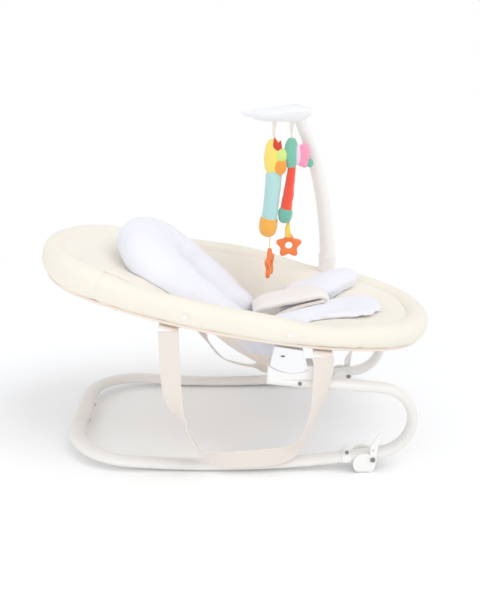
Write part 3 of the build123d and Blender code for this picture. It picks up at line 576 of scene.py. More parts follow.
# %% Padded rim
def rim_shape(along):
    """Half width, half height and lift of the padding's section, by its place along the seat."""
    head = smooth(0.16, 0.34, -along)
    foot = smooth(0.2, 0.36, along)
    dip = exp(-(((along - 0.165) / 0.075) ** 2))
    half_width = 0.0235 + 0.003 * head + 0.002 * foot
    half_height = 0.0245 + 0.0075 * head - 0.005 * dip
    lift = 0.008 * head - 0.006 * dip
    return half_width, half_height, lift


SLEEVE_SEAMS = (-0.262, 0.236)  # where the sleeve's panels are joined, along the seat
STITCH_ANGLE = radians(308)  # of the stitched line on the inner side of the roll


def rim_point(turn, angle):
    (along, across), outward = oval(RIM_HALF_LENGTH, RIM_HALF_WIDTH, turn)
    half_width, half_height, lift = rim_shape(along)
    c, s = cos(angle), sin(angle)
    wide = half_width * signed_power(c, 0.9)
    tall = half_height * signed_power(s, 0.85)
    # gathers where the sleeve is sewn, under the roll and along its inner side
    gather = max(0.0, -s) ** 2 + 0.6 * max(0.0, -c) ** 2
    pleat = noise.noise(Vector((along * 34, across * 34, 3.1))) * 0.0022 * gather
    dent = noise.noise(Vector((along * 9, across * 9, 7.7 + s))) * 0.0018
    stitch = -0.0011 * exp(-(((angle - STITCH_ANGLE) / 0.13) ** 2))
    panel = -0.0022 * sum(exp(-(((along - seam) / 0.0045) ** 2)) for seam in SLEEVE_SEAMS)
    shift = pleat + dent + stitch + panel
    wide += shift * c
    tall += shift * s
    return seat(along + outward[0] * wide, across + outward[1] * wide, lift + tall)


RIM_TURNS, RIM_ROUND = 420, 40
rim_cushion = skin(
    "rim_cushion",
    [
        [rim_point(turn / RIM_TURNS, 2 * pi * step / RIM_ROUND) for step in range(RIM_ROUND)]
        for turn in range(RIM_TURNS)
    ],
    closed_loop=True,
)
smooth_shade(rim_cushion)
dress(rim_cushion, cream, "cream_fabric")
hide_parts("rim_pad")
print("rim cushion:", len(rim_cushion.data.polygons), "faces")

# %% [markdown]
# ## The edge tape
# The sleeve closes under the roll with a folded tape, sewn so that its edge looks out below the padding. It is a thin
# flat section swept round the same oval, a little outside the middle of the roll.

# %% Edge tape
TAPE_ROUND = 12
TAPE_HALF_WIDTH, TAPE_HALF_HEIGHT, TAPE_OUTSET = 0.0060, 0.0034, 0.0085
tape_rows = []
for turn in range(RIM_TURNS):
    (along, across), outward = oval(RIM_HALF_LENGTH, RIM_HALF_WIDTH, turn / RIM_TURNS)
    half_width, half_height, lift = rim_shape(along)
    ripple = noise.noise(Vector((along * 22, across * 22, 1.3))) * 0.0008
    middle_out = TAPE_OUTSET + ripple
    middle_up = lift - half_height - 0.0008 + ripple
    row = []
    for step in range(TAPE_ROUND):
        angle = 2 * pi * step / TAPE_ROUND
        out = middle_out + TAPE_HALF_WIDTH * signed_power(cos(angle), 0.6)
        up = middle_up + TAPE_HALF_HEIGHT * signed_power(sin(angle), 0.6) + 0.25 * (out - middle_out)
        row.append(seat(along + outward[0] * out, across + outward[1] * out, up))
    tape_rows.append(row)
edge_tape = skin("edge_tape", tape_rows, closed_loop=True)
dress(edge_tape, tape, "binding")
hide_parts("rim_binding")
print("edge tape:", len(edge_tape.data.polygons), "faces")

# %% [markdown]
# ## The sling
# The seat itself is a fabric bucket hung inside the rim: flat shelves at the head and the foot, and a deep, smooth
# hollow between. Ovals at a few levels, joined by a smooth curve, give the hollow, and noise that grows towards the
# seams gives the gathers. A Solidify modifier makes it a padded layer.

# %% Sling levels
SLING_LEVELS = in_mm(  # at the sides, head and foot over the rim plane; shift along the seat, half length, half width
    (8, 33, 12, 0, 372, 204), (8, 34.5, 13.5, 0, 354, 192), (1, 31, 11, -3, 306, 182), (-10, 26, 4, -5, 262, 171),
    (-40, 18, -10, 4, 216, 148), (-72, -20, -44, 28, 162, 122), (-102, -70, -90, 50, 112, 90),
    (-124, -112, -123, 68, 68, 60), (-143, -141, -143, 84, 34, 33), (-147, -147, -147, 86, 10, 10),
)
SLING_ROWS, SLING_ROUND = 56, 160
SLING_BOTTOM, BOTTOM_REACH = (0.086, 0, -0.147), 0.0125  # middle of the smallest oval, and no less than its radius


def sling_point(share, turn):
    side_level, head_level, foot_level, shift, half_length, half_width = blend_list(SLING_LEVELS, share)
    (along, across), outward = oval(half_length, half_width, turn)
    facing = along / half_length
    head, foot = smooth(0.25, 0.72, -facing), smooth(0.3, 0.8, facing)
    level = side_level + (head_level - side_level) * head + (foot_level - side_level) * foot
    wall = smooth(0.05, 0.3, share) * (1 - smooth(0.6, 0.95, share))
    fold = noise.noise(Vector((cos(turn * 2 * pi) * 7, sin(turn * 2 * pi) * 7, share * 2.2)))
    wave = 0.0032 * wall * fold + 0.0012 * noise.noise(Vector((along * 40, across * 40, 2.0)))
    level += 0.0016 * noise.noise(Vector((along * 16, across * 16, 5.0)))
    return seat(along + shift - outward[0] * wave, across - outward[1] * wave, level)


sling = skin(
    "seat_sling",
    [
        [sling_point(row / (SLING_ROWS - 1), step / SLING_ROUND) for step in range(SLING_ROUND)]
        for row in range(SLING_ROWS)
    ],
    capped=False,
)
print("sling:", len(sling.data.polygons), "faces before its bottom is closed")

# %% Close the sling's bottom
# the smallest oval is still open, so its edges are filled and the faces are turned to look down
select_only(sling)
bpy.ops.object.mode_set(mode="EDIT")
bpy.ops.mesh.select_mode(type="EDGE")
bpy.ops.mesh.select_all(action="DESELECT")
bpy.ops.object.mode_set(mode="OBJECT")
lowest = min(vertex.co.z for vertex in sling.data.vertices)
for edge in sling.data.edges:
    ends = [sling.data.vertices[i].co for i in edge.vertices]
    edge.select = all((point - seat(*SLING_BOTTOM)).length < BOTTOM_REACH for point in ends)
bpy.ops.object.mode_set(mode="EDIT")
bpy.ops.mesh.edge_face_add()
bpy.ops.mesh.poke()
bpy.ops.mesh.select_all(action="SELECT")
bpy.ops.mesh.normals_make_consistent(inside=False)
bpy.ops.object.mode_set(mode="OBJECT")
middle_face = min(sling.data.polygons, key=lambda face: face.center.z)
if middle_face.normal.z > 0:
    select_only(sling)
    bpy.ops.object.mode_set(mode="EDIT")
    bpy.ops.mesh.select_all(action="SELECT")
    bpy.ops.mesh.flip_normals()
    bpy.ops.object.mode_set(mode="OBJECT")
print("sling:", len(sling.data.polygons), "faces, lowest at", round(lowest, 3))

# %% Height of the sling
sling_tree = BVHTree.FromPolygons(
    [vertex.co for vertex in sling.data.vertices], [face.vertices for face in sling.data.polygons]
)
SEAT_NORMAL = seat(0, 0, 1) - seat(0, 0, 0)
RAY_START = 0.2  # above the rim plane


def rest_level(along, across):
    """Height of the sling's inner face above the rim plane."""
    start = seat(along, across, RAY_START)
    hit = sling_tree.ray_cast(start, -SEAT_NORMAL)
    return RAY_START - hit[3] if hit[0] else -0.02


print("floor of the sling at", round(rest_level(0.05, 0), 3), "under the rim plane")

# %% Sling thickness and lining
SLING_THICKNESS, LINING_GAP = 0.0065, 0.004
add_modifier(sling, "SOLIDIFY", thickness=SLING_THICKNESS, offset=1.0)
apply_all(sling)
lining = sling.data.attributes.new("lining", "FLOAT", "POINT")
band = sling.data.attributes.new("band", "FLOAT", "POINT")
for vertex in sling.data.vertices:
    distance = sling_tree.find_nearest(vertex.co)[3]
    lining.data[vertex.index].value = 1.0 if distance > LINING_GAP else 0.0
    along, above = off_seat(vertex.co)
    band.data[vertex.index].value = smooth(-0.020, 0.050, along) * smooth(-0.114, -0.100, above)
smooth_shade(sling, 50)
sling_cloth = jersey("sling jersey", "F8F3E7", "F1EADC")
upper_colour = Wire(sling_cloth, sling_cloth.shader.inputs["Base Color"].links[0].from_socket)
lower_colour = sling_cloth.mix(sling_cloth.attribute("band"), rgb("EDDFCF"), rgb("E3E3EB"))
sling_cloth.colour(sling_cloth.mix(sling_cloth.attribute("lining"), upper_colour, lower_colour))
dress(sling, sling_cloth, "cream_fabric")
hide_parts("seat_bowl")
print("sling with its lining:", len(sling.data.polygons), "faces")

# %% [markdown]
# ## The head pillow
# The newborn insert ends in a U-shaped pillow that cradles the head and runs down both sides of the body. It is one
# stuffed tube that is broader than it is tall, fattest behind the head, with a faint pleat where it bends. Its path
# leans more than the seat, so the arms sink into the hollow, and its underside is pressed onto the sling.

# %% Pillow
PILLOW_SLOPE = radians(31)
PILLOW_HEAD, PILLOW_LIFT = -0.142, 0.017  # middle of the bend, along the seat and above it
PILLOW_REACH, PILLOW_CROWN = 0.226, 0.056  # length of an arm, and how far the bend stands out behind it
PILLOW_ASIDE, PILLOW_CLOSING = 0.086, 0.014  # of an arm from the middle, and how much nearer it comes at its end
PILLOW_BEND = 0.38  # share of each half that is the bend
PILLOW_FAT, PILLOW_EXTRA, PILLOW_BREADTH = 0.0420, 0.0060, 1.52
PILLOW_STEPS, PILLOW_ROUND = 84, 30


def pillow_path(share):
    """Middle of the pillow; share runs from 0 at the near arm's end to 1 at the far arm's end."""
    side = -1 if share < 0.5 else 1
    part = abs(share - 0.5) * 2
    if part < PILLOW_BEND:
        angle = part / PILLOW_BEND * pi / 2
        down, across = -PILLOW_CROWN * cos(angle), PILLOW_ASIDE * sin(angle)
    else:
        run = (part - PILLOW_BEND) / (1 - PILLOW_BEND)
        down, across = PILLOW_REACH * run, PILLOW_ASIDE - PILLOW_CLOSING * run
    along = PILLOW_HEAD + down * cos(PILLOW_SLOPE)
    above = PILLOW_LIFT - down * sin(PILLOW_SLOPE)
    return seat(along, side * across, above)


shares = [step / (PILLOW_STEPS - 1) for step in range(PILLOW_STEPS)]
sizes = []
for share in shares:
    part = abs(share - 0.5) * 2
    fat = PILLOW_FAT + PILLOW_EXTRA * (1 - smooth(0.0, 0.8, part))
    tip = min(1.0, max(0.05, (1 - part) / 0.13))  # the ends are round
    size = fat * sqrt(1 - (1 - tip) ** 2) if tip < 1 else fat
    sizes.append((size, size * PILLOW_BREADTH))
PILLOW_NORMAL = Vector((sin(SEAT_SLOPE + PILLOW_SLOPE), 0, cos(SEAT_SLOPE + PILLOW_SLOPE)))
centres = [pillow_path(share) for share in shares]
rows = tube_rows(centres, sizes, PILLOW_NORMAL, PILLOW_ROUND)
for j, row in enumerate(rows):
    part = abs(shares[j] - 0.5) * 2
    for i, point in enumerate(row):
        spoke = (point - centres[j]).normalized()
        inner = max(0.0, -spoke.dot((centres[j] - seat(-0.1, 0, 0.02)).normalized()))
        pleat = -0.010 * inner * exp(-((part / 0.05) ** 2))
        pleat += 0.004 * inner * sin(part * 34) * (1 - smooth(0.35, 0.75, part))
        row[i] = point + spoke * (pleat + creases(point, 4.4, (22, 22, 22), 0.0035))
pillow = skin("head_pillow", rows)
stuff(pillow, cap=0.006)
for vertex in pillow.data.vertices:
    along, above = off_seat(vertex.co)
    floor_here = rest_level(along, vertex.co.y) + 0.001
    if above < floor_here:
        vertex.co = seat(along, vertex.co.y, floor_here)
dress(pillow, insert_plush, "insert_fabric")
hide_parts("head_roll")

# %% [markdown]
# ## Pads that lie on the sling
# The rest of the insert is a back pad and two leg flaps. Each lies on the sling, so its lower face is the sling's own
# height and its upper face is crowned over it. Rings from the middle to the edge, with heights taken from the sling,
# give both.


# %% Pad helper
PAD_CLEARANCE = 0.0015  # of a pad's upper face above the sling
PAD_UNDERCUT, PAD_SEAT = 0.985, 0.0012  # the lower face is a little smaller, and lies this far above the sling


def pad_on_sling(name, centre, outline, crown, rings=16, around=72):
    """A closed pad inside an outline of (along, across) points; crown(q, floor, along, across) is its upper level."""

    def inset(q, share):
        along, across = blend_list(outline, share)
        return centre[0] + (along - centre[0]) * q, centre[1] + (across - centre[1]) * q

    rows = []
    for ring in range(1, rings + 1):
        q = sin(ring / rings * pi / 2)
        row = []
        for step in range(around):
            along, across = inset(q, step / around)
            level = rest_level(along, across) + PAD_CLEARANCE
            row.append(seat(along, across, max(crown(q, level, along, across), level + PAD_CLEARANCE)))
        rows.append(row)
    for ring in range(rings, 0, -1):
        q = sin(ring / rings * pi / 2) * PAD_UNDERCUT
        row = []
        for step in range(around):
            along, across = inset(q, step / around)
            row.append(seat(along, across, rest_level(along, across) + PAD_SEAT))
        rows.append(row)
    return skin(name, rows)


# %% Back pad
BACK_CENTRE, BACK_HALF_LENGTH, BACK_HALF_WIDTH = -0.056, 0.146, 0.086
BACK_SIDES = 24


def back_crown(q, level, along, across):
    channel = 0.003 * exp(-((((along + 0.02) % 0.09) - 0.045) / 0.006) ** 2)
    return level + 0.0125 * (1 - q**6) ** 0.5 - channel * (1 - q**4)


back_outline = []
for step in range(BACK_SIDES + 1):
    angle = 2 * pi * step / BACK_SIDES
    reach = (abs(cos(angle)) ** 4 + abs(sin(angle)) ** 4) ** -0.25  # an oval with full corners
    back_outline.append(
        (BACK_CENTRE + BACK_HALF_LENGTH * cos(angle) * reach, BACK_HALF_WIDTH * sin(angle) * reach)
    )
back_pad = pad_on_sling("back_pad", (BACK_CENTRE, 0), back_outline, back_crown, rings=30, around=96)
dress(back_pad, insert_plush, "insert_fabric")
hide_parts("body_pad")
print("back pad:", len(back_pad.data.polygons), "faces")


# %% Leg flaps
FLAP_CENTRES = {"near": (0.190, -0.062), "far": (0.185, 0.078)}
FLAP_OUTLINES = {  # along, across
    "near": in_mm(
        (55, -112), (80, -124), (130, -128), (190, -126), (245, -112), (285, -74), (302, -20), (290, 34), (245, 52),
        (205, 28), (172, -12), (132, -46), (90, -76), (62, -96), (55, -112),
    ),
    "far": in_mm(
        (105, 55), (108, 95), (150, 124), (200, 133), (240, 132), (260, 116), (258, 90), (235, 64), (208, 40),
        (180, 27), (145, 26), (115, 37), (105, 55),
    ),
}


def flap_crown(far, q, level, along, across):
    dome = -0.028 + 0.022 * smooth(0.05, 0.20, along) + 0.014 * sqrt(max(0.0, 1 - q**3))
    if far:
        dome += 0.006 + 0.034 * smooth(0.14, 0.25, along) * smooth(0.0, 0.10, across)
    ripple = creases((along, across, 0), 5.0, (26, 26, 1), 0.004) * (1 - q)
    return max(dome + ripple, level + 0.010 * sqrt(max(0.0, 1 - q**4)))


for side_name, middle in FLAP_CENTRES.items():
    crown = partial(flap_crown, side_name == "far")
    flap = pad_on_sling(f"leg_pad_{side_name}", middle, FLAP_OUTLINES[side_name], crown)
    stuff(flap, cap=0.004)
    dress(flap, insert_plush, "insert_fabric")
    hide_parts(f"leg_flap_{side_name}")

# %% [markdown]
# ## Harness
# A padded flap stands up between the legs, and a belt runs from it to each side of the sling. Flat straps are swept
# sections: a long thin oval along a smooth path, with the unrolled length kept for the weave.

# %% Harness pad
HARNESS_ROOT = rest_level(0.186, 0)
HARNESS_PATH = [  # along, above, half width, half thickness
    (0.1860, HARNESS_ROOT - 0.0040, 0.0230, 0.0060),
    (0.1895, HARNESS_ROOT + 0.0250, 0.0240, 0.0070),
    (0.1860, 0.0060, 0.0270, 0.0070),
    (0.1700, 0.0150, 0.0310, 0.0070),
    (0.1450, 0.0100, 0.0370, 0.0075),
    (0.1150, -0.0010, 0.0410, 0.0080),
    (0.0850, -0.0120, 0.0440, 0.0080),
    (0.0560, -0.0270, 0.0420, 0.0070),
    (0.0400, -0.0400, 0.0370, 0.0040),
]
HARNESS_STEPS, HARNESS_ACROSS = 45, 0.004
harness_points, harness_sizes = [], []
for step in range(HARNESS_STEPS + 1):
    along, above, half_across, half_thick = blend_list(HARNESS_PATH, step / HARNESS_STEPS)
    harness_points.append(seat(along, HARNESS_ACROSS, above))
    harness_sizes.append((half_across, half_thick))
harness_pad = skin(
    "harness_pad", tube_rows(harness_points, harness_sizes, Vector((0, 1, 0)), count=36, power=0.55)
)
for vertex in harness_pad.data.vertices:
    swell = creases(vertex.co, 3.0, (30, 30, 30), 0.0030)
    vertex.co.z += swell - 0.006 * (vertex.co.y / 0.05) ** 2
subdivide(harness_pad)
dress(harness_pad, harness_cloth, "harness")
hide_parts("crotch_pad")
print("harness pad:", len(harness_pad.data.polygons), "faces")


# %% Lap belts
BELT_STEPS, BELT_HALF_WIDTH, BELT_HALF_THICK = 23, 0.0125, 0.0013
BELT_ROOT, BELT_CLEARANCE = (0.178, 0.044, 0.0140), 0.003  # along, aside and above at the pad; above the sling
BELTS = {  # side, run along the seat, drop, facing
    "near": (-1, 0.098, 0.038, Vector((0, 1, -0.15)).normalized()),
    "far": (1, 0.030, 0.120, Vector((0, 1, 0.3)).normalized()),
}


def flat_strap(name, centres, sides, half_width, half_thick, count=20, power=0.35):
    return skin(name, tube_rows(centres, [(half_width, half_thick)] * len(centres), sides, count, power))


for side_name, (side, run, drop, facing) in BELTS.items():
    belt_points = []
    for step in range(BELT_STEPS + 1):
        share = step / BELT_STEPS
        along = BELT_ROOT[0] - run * share
        across = side * (BELT_ROOT[1] + 0.012 * share + 0.034 * share**4)
        above = max(BELT_ROOT[2] - drop * share, rest_level(along, across) + BELT_CLEARANCE)
        belt_points.append(seat(along, across, above))
    belt = flat_strap(f"lap_belt_{side_name}", belt_points, facing, BELT_HALF_WIDTH, BELT_HALF_THICK)
    dress(belt, webbing, "webbing")
    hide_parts(f"waist_belt_{side_name}")
print("harness ready")

# %% [markdown]
# ## Carry straps
# On each side a webbing loop hangs from two tabs under the rim, nearly to the floor. It is flat webbing of one width,
# so its path is one smooth curve and only its facing turns. The near strap lies nearly flat along its lowest part and
# twists where it goes round the lower corners. The far strap leaves its head tab on a longer slant, so it has stations
# of its own as far as the foot end, where the two are alike.

# %% Carry straps
STRAP_LEVEL = -0.0343  # of the tabs above the rim plane
STRAP_BOTTOM = 0.0350  # of the loop above the floor
STRAP_ASIDE = 0.2270
STRAP_HALF_THICK = 0.0015
TAB_GAP = 0.0030  # of a strap's end below its tab
LEAN_SHARE = 0.07  # share of the strap that leans with the tabs
strap_head, strap_foot = seat(-0.124, 0, STRAP_LEVEL), seat(0.169, 0, STRAP_LEVEL)


def strap_stations(tab, *rows):
    """Stations from rows in millimetres: x from the tab, height over the loop's lowest part, twist in degrees."""
    return [(tab.x + x / 1000, STRAP_BOTTOM + z / 1000, twist) for x, z, twist in rows]


HEAD_END, FOOT_END = ((tab.x, tab.z - TAB_GAP, 0) for tab in (strap_head, strap_foot))
FOOT_HALF = strap_stations(strap_foot, (-78, 9, 6), (-42, 33, 50), (-22, 74, 58), (-9, 122, 44), (-1, 180, 12))
STRAPS = {  # side, stations of the head half
    "near": (-1, [
        (strap_head.x + 0.001, strap_head.z - 0.055, 4),
        *strap_stations(strap_head, (4, 145, 12), (12, 105, 44), (25, 84, 72), (34, 59, 82), (56, 19, 70)),
        *strap_stations(strap_head, (88, 3, 18), (125, 0, 2)),
    ]),
    "far": (1, [
        (strap_head.x + 0.005, strap_head.z - 0.056, 4),
        *strap_stations(strap_head, (20, 140, 20), (44, 100, 62), (62, 60, 104), (92, 24, 110), (134, 8, 107)),
        *strap_stations(strap_head, (172, 3, 96)),
    ]),
}
STRAP_STEPS = 150
for side_name, (side, head_half) in STRAPS.items():
    stations = [HEAD_END, *head_half, *FOOT_HALF, FOOT_END]
    points, sides = [], []
    for step in range(STRAP_STEPS):
        x, z, twist = blend_list(stations, step / (STRAP_STEPS - 1))
        x2, z2, _ = blend_list(stations, min(1.0, (step + 1) / (STRAP_STEPS - 1)))
        x1, z1, _ = blend_list(stations, max(0.0, (step - 1) / (STRAP_STEPS - 1)))
        forward = Vector((x2 - x1, 0, z2 - z1)).normalized()
        across = Vector((0, 1, 0)).cross(forward).normalized()
        share = step / (STRAP_STEPS - 1)
        end_lean = SEAT_SLOPE * max(0.0, 1 - share / LEAN_SHARE, 1 - (1 - share) / LEAN_SHARE)
        turned = Matrix.Rotation(radians(-twist * side), 3, forward) @ across
        sides.append(Matrix.Rotation(end_lean, 3, "Y") @ turned)
        points.append(Vector((x, side * STRAP_ASIDE, z)))
    strap = flat_strap(f"carry_loop_{side_name}", points, sides, WEBBING_HALF, STRAP_HALF_THICK, count=28)
    dress(strap, webbing, "webbing")
    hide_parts(f"carry_strap_{side_name}")
    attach(strap, f"carry_{side_name}")
print("carry straps:", len(strap.data.polygons), "faces each")

# %% [markdown]
# ## Toy plate
# The arm ends in a leaf-shaped plate, pointed at one end and forked at the other, moulded as two shells that meet at a
# seam. One outline, drawn smaller or larger at each height, gives the crown, the rounded rim and the groove between.
# Both shells are thinner at the tip and the fork than in the middle, and the crown leans towards them.


# %% Toy plate
PLATE_SEAM, PLATE_FOOT = 0.6535, 0.6400
LEAF = in_mm(  # outline in plan, from the pointed tip along the far edge, round the fork, and back
    (7, 95), (34, 108.5), (72, 118), (108, 123), (138, 124), (154, 120), (150, 108), (133, 97), (129, 94.5),
    (134, 90), (150, 78), (146, 70.5), (118, 69), (82, 71.5), (45, 79), (22, 88), (7, 95),
)
LEAF_SPINE = (0.034, 0.122, 0.0955)  # its ends in x, and its y
PLATE_LEVELS = in_mm(  # how much smaller, height
    (22, 640.2), (15, 640.6), (9, 642), (3.5, 645.8), (0.6, 649.5), (0.2, 651.6), (1.2, 652.1), (1.2, 652.7),
    (0, 653.2), (0.6, 655.2), (3.4, 658.8), (8.5, 661.6), (15, 663.8), (22, 664.8),
)


def leaf_row(shrink, height, count=120):
    row = []
    for step in range(count):
        x, y = blend_list(LEAF, step / count)
        spine_x, spine_y = min(max(x, LEAF_SPINE[0]), LEAF_SPINE[1]), LEAF_SPINE[2]
        reach = Vector((x - spine_x, y - spine_y))
        keep = max(0.0, 1 - shrink / max(reach.length, 1e-4))
        lean = 0.0080 * smooth(0.060, 0.130, x) + 0.0030 * (1 - smooth(0.004, 0.050, x))
        if height < PLATE_SEAM:
            fullness = 0.42 + 0.70 * smooth(0.002, 0.062, x) - 0.06 * smooth(0.105, 0.130, x)
            fullness -= 0.55 * smooth(0.130, 0.156, x)
            lean *= smooth(PLATE_FOOT, PLATE_SEAM, height)
        else:
            fullness = 0.42 + 0.78 * smooth(0.002, 0.046, x) - 0.40 * smooth(0.105, 0.155, x)
        level = PLATE_SEAM + (height - PLATE_SEAM) * fullness + lean
        row.append(Vector((spine_x + reach.x * keep, spine_y + reach.y * keep, level)))
    return row


plate = skin("toy_plate", [leaf_row(shrink, height) for shrink, height in PLATE_LEVELS])
subdivide(plate, 45)
dress(plate, plastic_cover, "plastic")
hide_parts("toy_plate_top", "toy_plate_bottom")
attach(plate, "toy_bar")
print("plate:", len(plate.data.polygons), "faces")

# %% [markdown]
# ## Hanging toys
# Two plush creatures hang from the plate by sewn ribbons. Each is a few stuffed parts of one colour, sewn together:
# round rows along a short path make every part, with small creases where the seams pull.


# %% Toy helpers
TOY_Y = 0.090
PART_STEPS, RIBBON_STEPS = 32, 14
THINNEST = 0.0004


def stuffed(name, body, cloth, stations, node=None, seam=0.0, count=28, tuck=0.0006):
    """A stuffed part; a station is (x, y from the toy's middle, z, half width in x, half width in y)."""
    centres, sizes = [], []
    for step in range(PART_STEPS + 1):
        x, y, z, wide, deep = blend_list(stations, step / PART_STEPS)
        centres.append(Vector((x, TOY_Y + y, z)))
        sizes.append((max(wide, THINNEST), max(deep, THINNEST)))
    rows = tube_rows(centres, sizes, Vector((1, 0, 0)), count)
    for j, row in enumerate(rows):
        for i, point in enumerate(row):
            spoke = point - centres[j]
            if spoke.length > 1e-6:
                fold = creases(point, 9.0, (90, 90, 90), tuck * 2)
                groove = -seam * exp(-((sin(2 * pi * i / count) / 0.16) ** 2))
                row[i] = point + spoke.normalized() * (fold + groove)
    piece = skin(name, rows)
    subdivide(piece)
    dress(piece, *toy_cloth[cloth])
    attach(piece, body)
    if node:
        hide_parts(node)


def hanging_ribbon(name, body, finish, x, top, bottom, widths, node=None, spread=0.0):
    """A strip of ribbon; widths are the half widths at the top and the bottom, spread moves its foot in y."""
    points, sizes = [], []
    for step in range(RIBBON_STEPS + 1):
        share = step / RIBBON_STEPS
        sway = spread * smooth(0.0, 0.8, share)
        points.append(Vector((x + 0.0006 * sin(share * 9), TOY_Y + sway, top + (bottom - top) * share)))
        sizes.append((widths[0] + (widths[1] - widths[0]) * smooth(0.0, 0.9, share), 0.0009))
    strip = skin(name, tube_rows(points, sizes, Vector((1, 0, 0)), 20, 0.35))
    dress(strip, finish, "ribbon")
    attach(strip, body)
    if node:
        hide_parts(node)


print("toy helpers ready")

# %% First toy: a tufted bird
hanging_ribbon("bird_ribbon", "toy_a", ribbon_white, 0.0755, 0.6425, 0.5985, (0.0045, 0.0022), "toy_a_ribbon")
bird_head = in_mm(
    (75, 0, 603.5, 1, 1), (75, 0, 602, 9, 7), (75, 0, 593, 15.5, 11.5), (75.5, 0, 578, 20, 14.5),
    (75.5, 0, 562, 21, 15), (74.5, 0, 545, 19, 14), (73.5, 0, 533.5, 13, 10), (73.5, 0, 530, 1, 1),
)
stuffed("bird_head", "toy_a", "yellow plush", bird_head, "toy_a_head", seam=0.0010)
upper_cheek = in_mm(
    (87, -7, 586, 1, 1), (88.5, -7.5, 583, 8, 6), (90.5, -8.5, 575, 11.8, 8), (90.5, -9, 566, 11.8, 8),
    (89.5, -9, 560, 8, 6), (89.5, -9, 558.5, 1, 1),
)
stuffed("bird_cheek_upper", "toy_a", "lime plush", upper_cheek)
lower_cheek = in_mm(
    (89, -8.5, 562, 1, 1), (90, -9, 560, 10, 7), (89.5, -9.5, 552, 13.5, 8.8), (88, -8.5, 542, 12.8, 8.4),
    (86, -7.5, 532, 7, 5), (85.5, -7.5, 530, 1, 1),
)
stuffed("bird_cheek_lower", "toy_a", "orange plush", lower_cheek)
TUFT_WIDTHS = ((0.0, 0.001), (0.08, 0.0040), (0.35, 0.0066), (0.6, 0.0052), (0.85, 0.0024), (1.0, 0.0006))
for tuft_name, node, foot, tip in (
    ("one", None, (0.0815, 0.5790), (0.0765, 0.6080)),
    ("two", "toy_a_crest", (0.0830, 0.5800), (0.0890, 0.6020)),
):
    tuft = []
    for share, wide in TUFT_WIDTHS:
        x, z = foot[0] + (tip[0] - foot[0]) * share, foot[1] + (tip[1] - foot[1]) * share
        tuft.append((x, -0.0115 + 0.002 * share, z, wide, wide * 0.5))
    stuffed(f"bird_tuft_{tuft_name}", "toy_a", "red felt", tuft, node, tuck=0.0002)
bird_body = in_mm(
    (75.5, 0, 539, 12, 10), (76.2, 0, 532, 17.2, 14), (74.5, 0, 508, 17.4, 15.2), (72.2, 0, 480, 17.2, 16),
    (69.5, 0, 456, 17, 16.4), (67.2, 0, 434, 17.2, 16.8), (66.8, 0, 425, 15, 15),
)
stuffed("bird_body", "toy_a", "aqua plush", bird_body, "toy_a_body", seam=0.0012)
bird_foot = in_mm(
    (67.2, 0, 440, 15, 15), (66.5, 0, 433, 19, 18), (64.8, 0, 415, 19.5, 18.2), (63.8, 0, 402, 15, 14.5),
    (63.5, 0, 396.5, 7, 7), (63.5, 0, 395, 1, 1),
)
stuffed("bird_foot", "toy_a", "amber plush", bird_foot)
bird_string = [(0.0690, 0, z, 0.0011, 0.0011) for z in (0.4040, 0.3940, 0.3840, 0.3770, 0.3718)]
stuffed("bird_string", "toy_a", "yellow plush", bird_string, "toy_a_string", count=10, tuck=0.0)
print("bird sewn")

# %% Second toy: a long-nosed friend
hanging_ribbon("friend_ribbon", "toy_b", ribbon_white, 0.1115, 0.6445, 0.6030, (0.0056, 0.0018), "toy_b_ribbon")
friend_head = in_mm(
    (112, 0, 606, 1, 1), (112, 0, 605, 7, 6.5), (112, 0, 597, 12, 11), (112, 0, 584, 15.2, 13.8),
    (112, 0, 568, 15.5, 14), (111.5, 0, 553, 13.5, 12.5), (111.5, 0, 544, 8, 8), (111.5, 0, 542.5, 1, 1),
)
stuffed("friend_head", "toy_b", "green plush", friend_head, "toy_b_head", seam=0.0010)
friend_cheek = in_mm(
    (122.5, -2, 591.5, 1, 1), (123.5, -2, 589.5, 6, 7), (125, -2, 576, 7.5, 9.8), (125, -2, 562, 7, 9.2),
    (123.5, -2, 552.5, 4.5, 6), (123.5, -2, 551.5, 1, 1),
)
stuffed("friend_cheek", "toy_b", "pale lilac plush", friend_cheek)
friend_nose = in_mm(
    (134.5, 0, 594, 1, 1), (135.5, 0, 592, 8, 7), (138, 0, 582, 11.8, 9.5), (138.5, 0, 569, 12.2, 9.8),
    (137.5, 0, 556, 11.2, 9), (136.5, 0, 547, 8, 7), (136, 0, 545.5, 1, 1),
)
stuffed("friend_nose", "toy_b", "pink plush", friend_nose, "toy_b_snout")
nose_tip = in_mm(
    (149, 0, 563, 1, 1), (150, 0, 561, 5.5, 5), (151, 0, 554, 7.4, 6.2), (150, 0, 547, 5.2, 4.6),
    (149.5, 0, 545, 1, 1),
)
stuffed("friend_nose_tip", "toy_b", "teal plush", nose_tip)
friend_body = in_mm(
    (113.5, 0, 549, 7, 8), (113.2, 0, 542, 9, 10), (110.8, 0, 518, 10, 11), (107.5, 0, 490, 11.3, 12),
    (103.8, 0, 464, 12.5, 13), (102.5, 0, 454, 12.2, 12.5),
)
stuffed("friend_body", "toy_b", "coral plush", friend_body, "toy_b_body", seam=0.0012)
friend_foot = in_mm(
    (102.8, 0, 460, 11.2, 11.5), (101.8, 0, 452, 14.5, 14), (100.8, 0, 440, 14.8, 14.2), (100.3, 0, 430, 11, 11),
    (100.3, 0, 426.2, 5, 5), (100.3, 0, 425.5, 1, 1),
)
stuffed("friend_foot", "toy_b", "teal plush", friend_foot)
for layer, node, spread in (("back", None, 0.0090), ("front", "toy_b_loop", -0.0090)):
    hanging_ribbon(
        f"friend_loop_{layer}", "toy_b", ribbon_yellow, 0.1075, 0.4320, 0.3960, (0.0028, 0.0062), node, spread
    )
print("friend sewn")

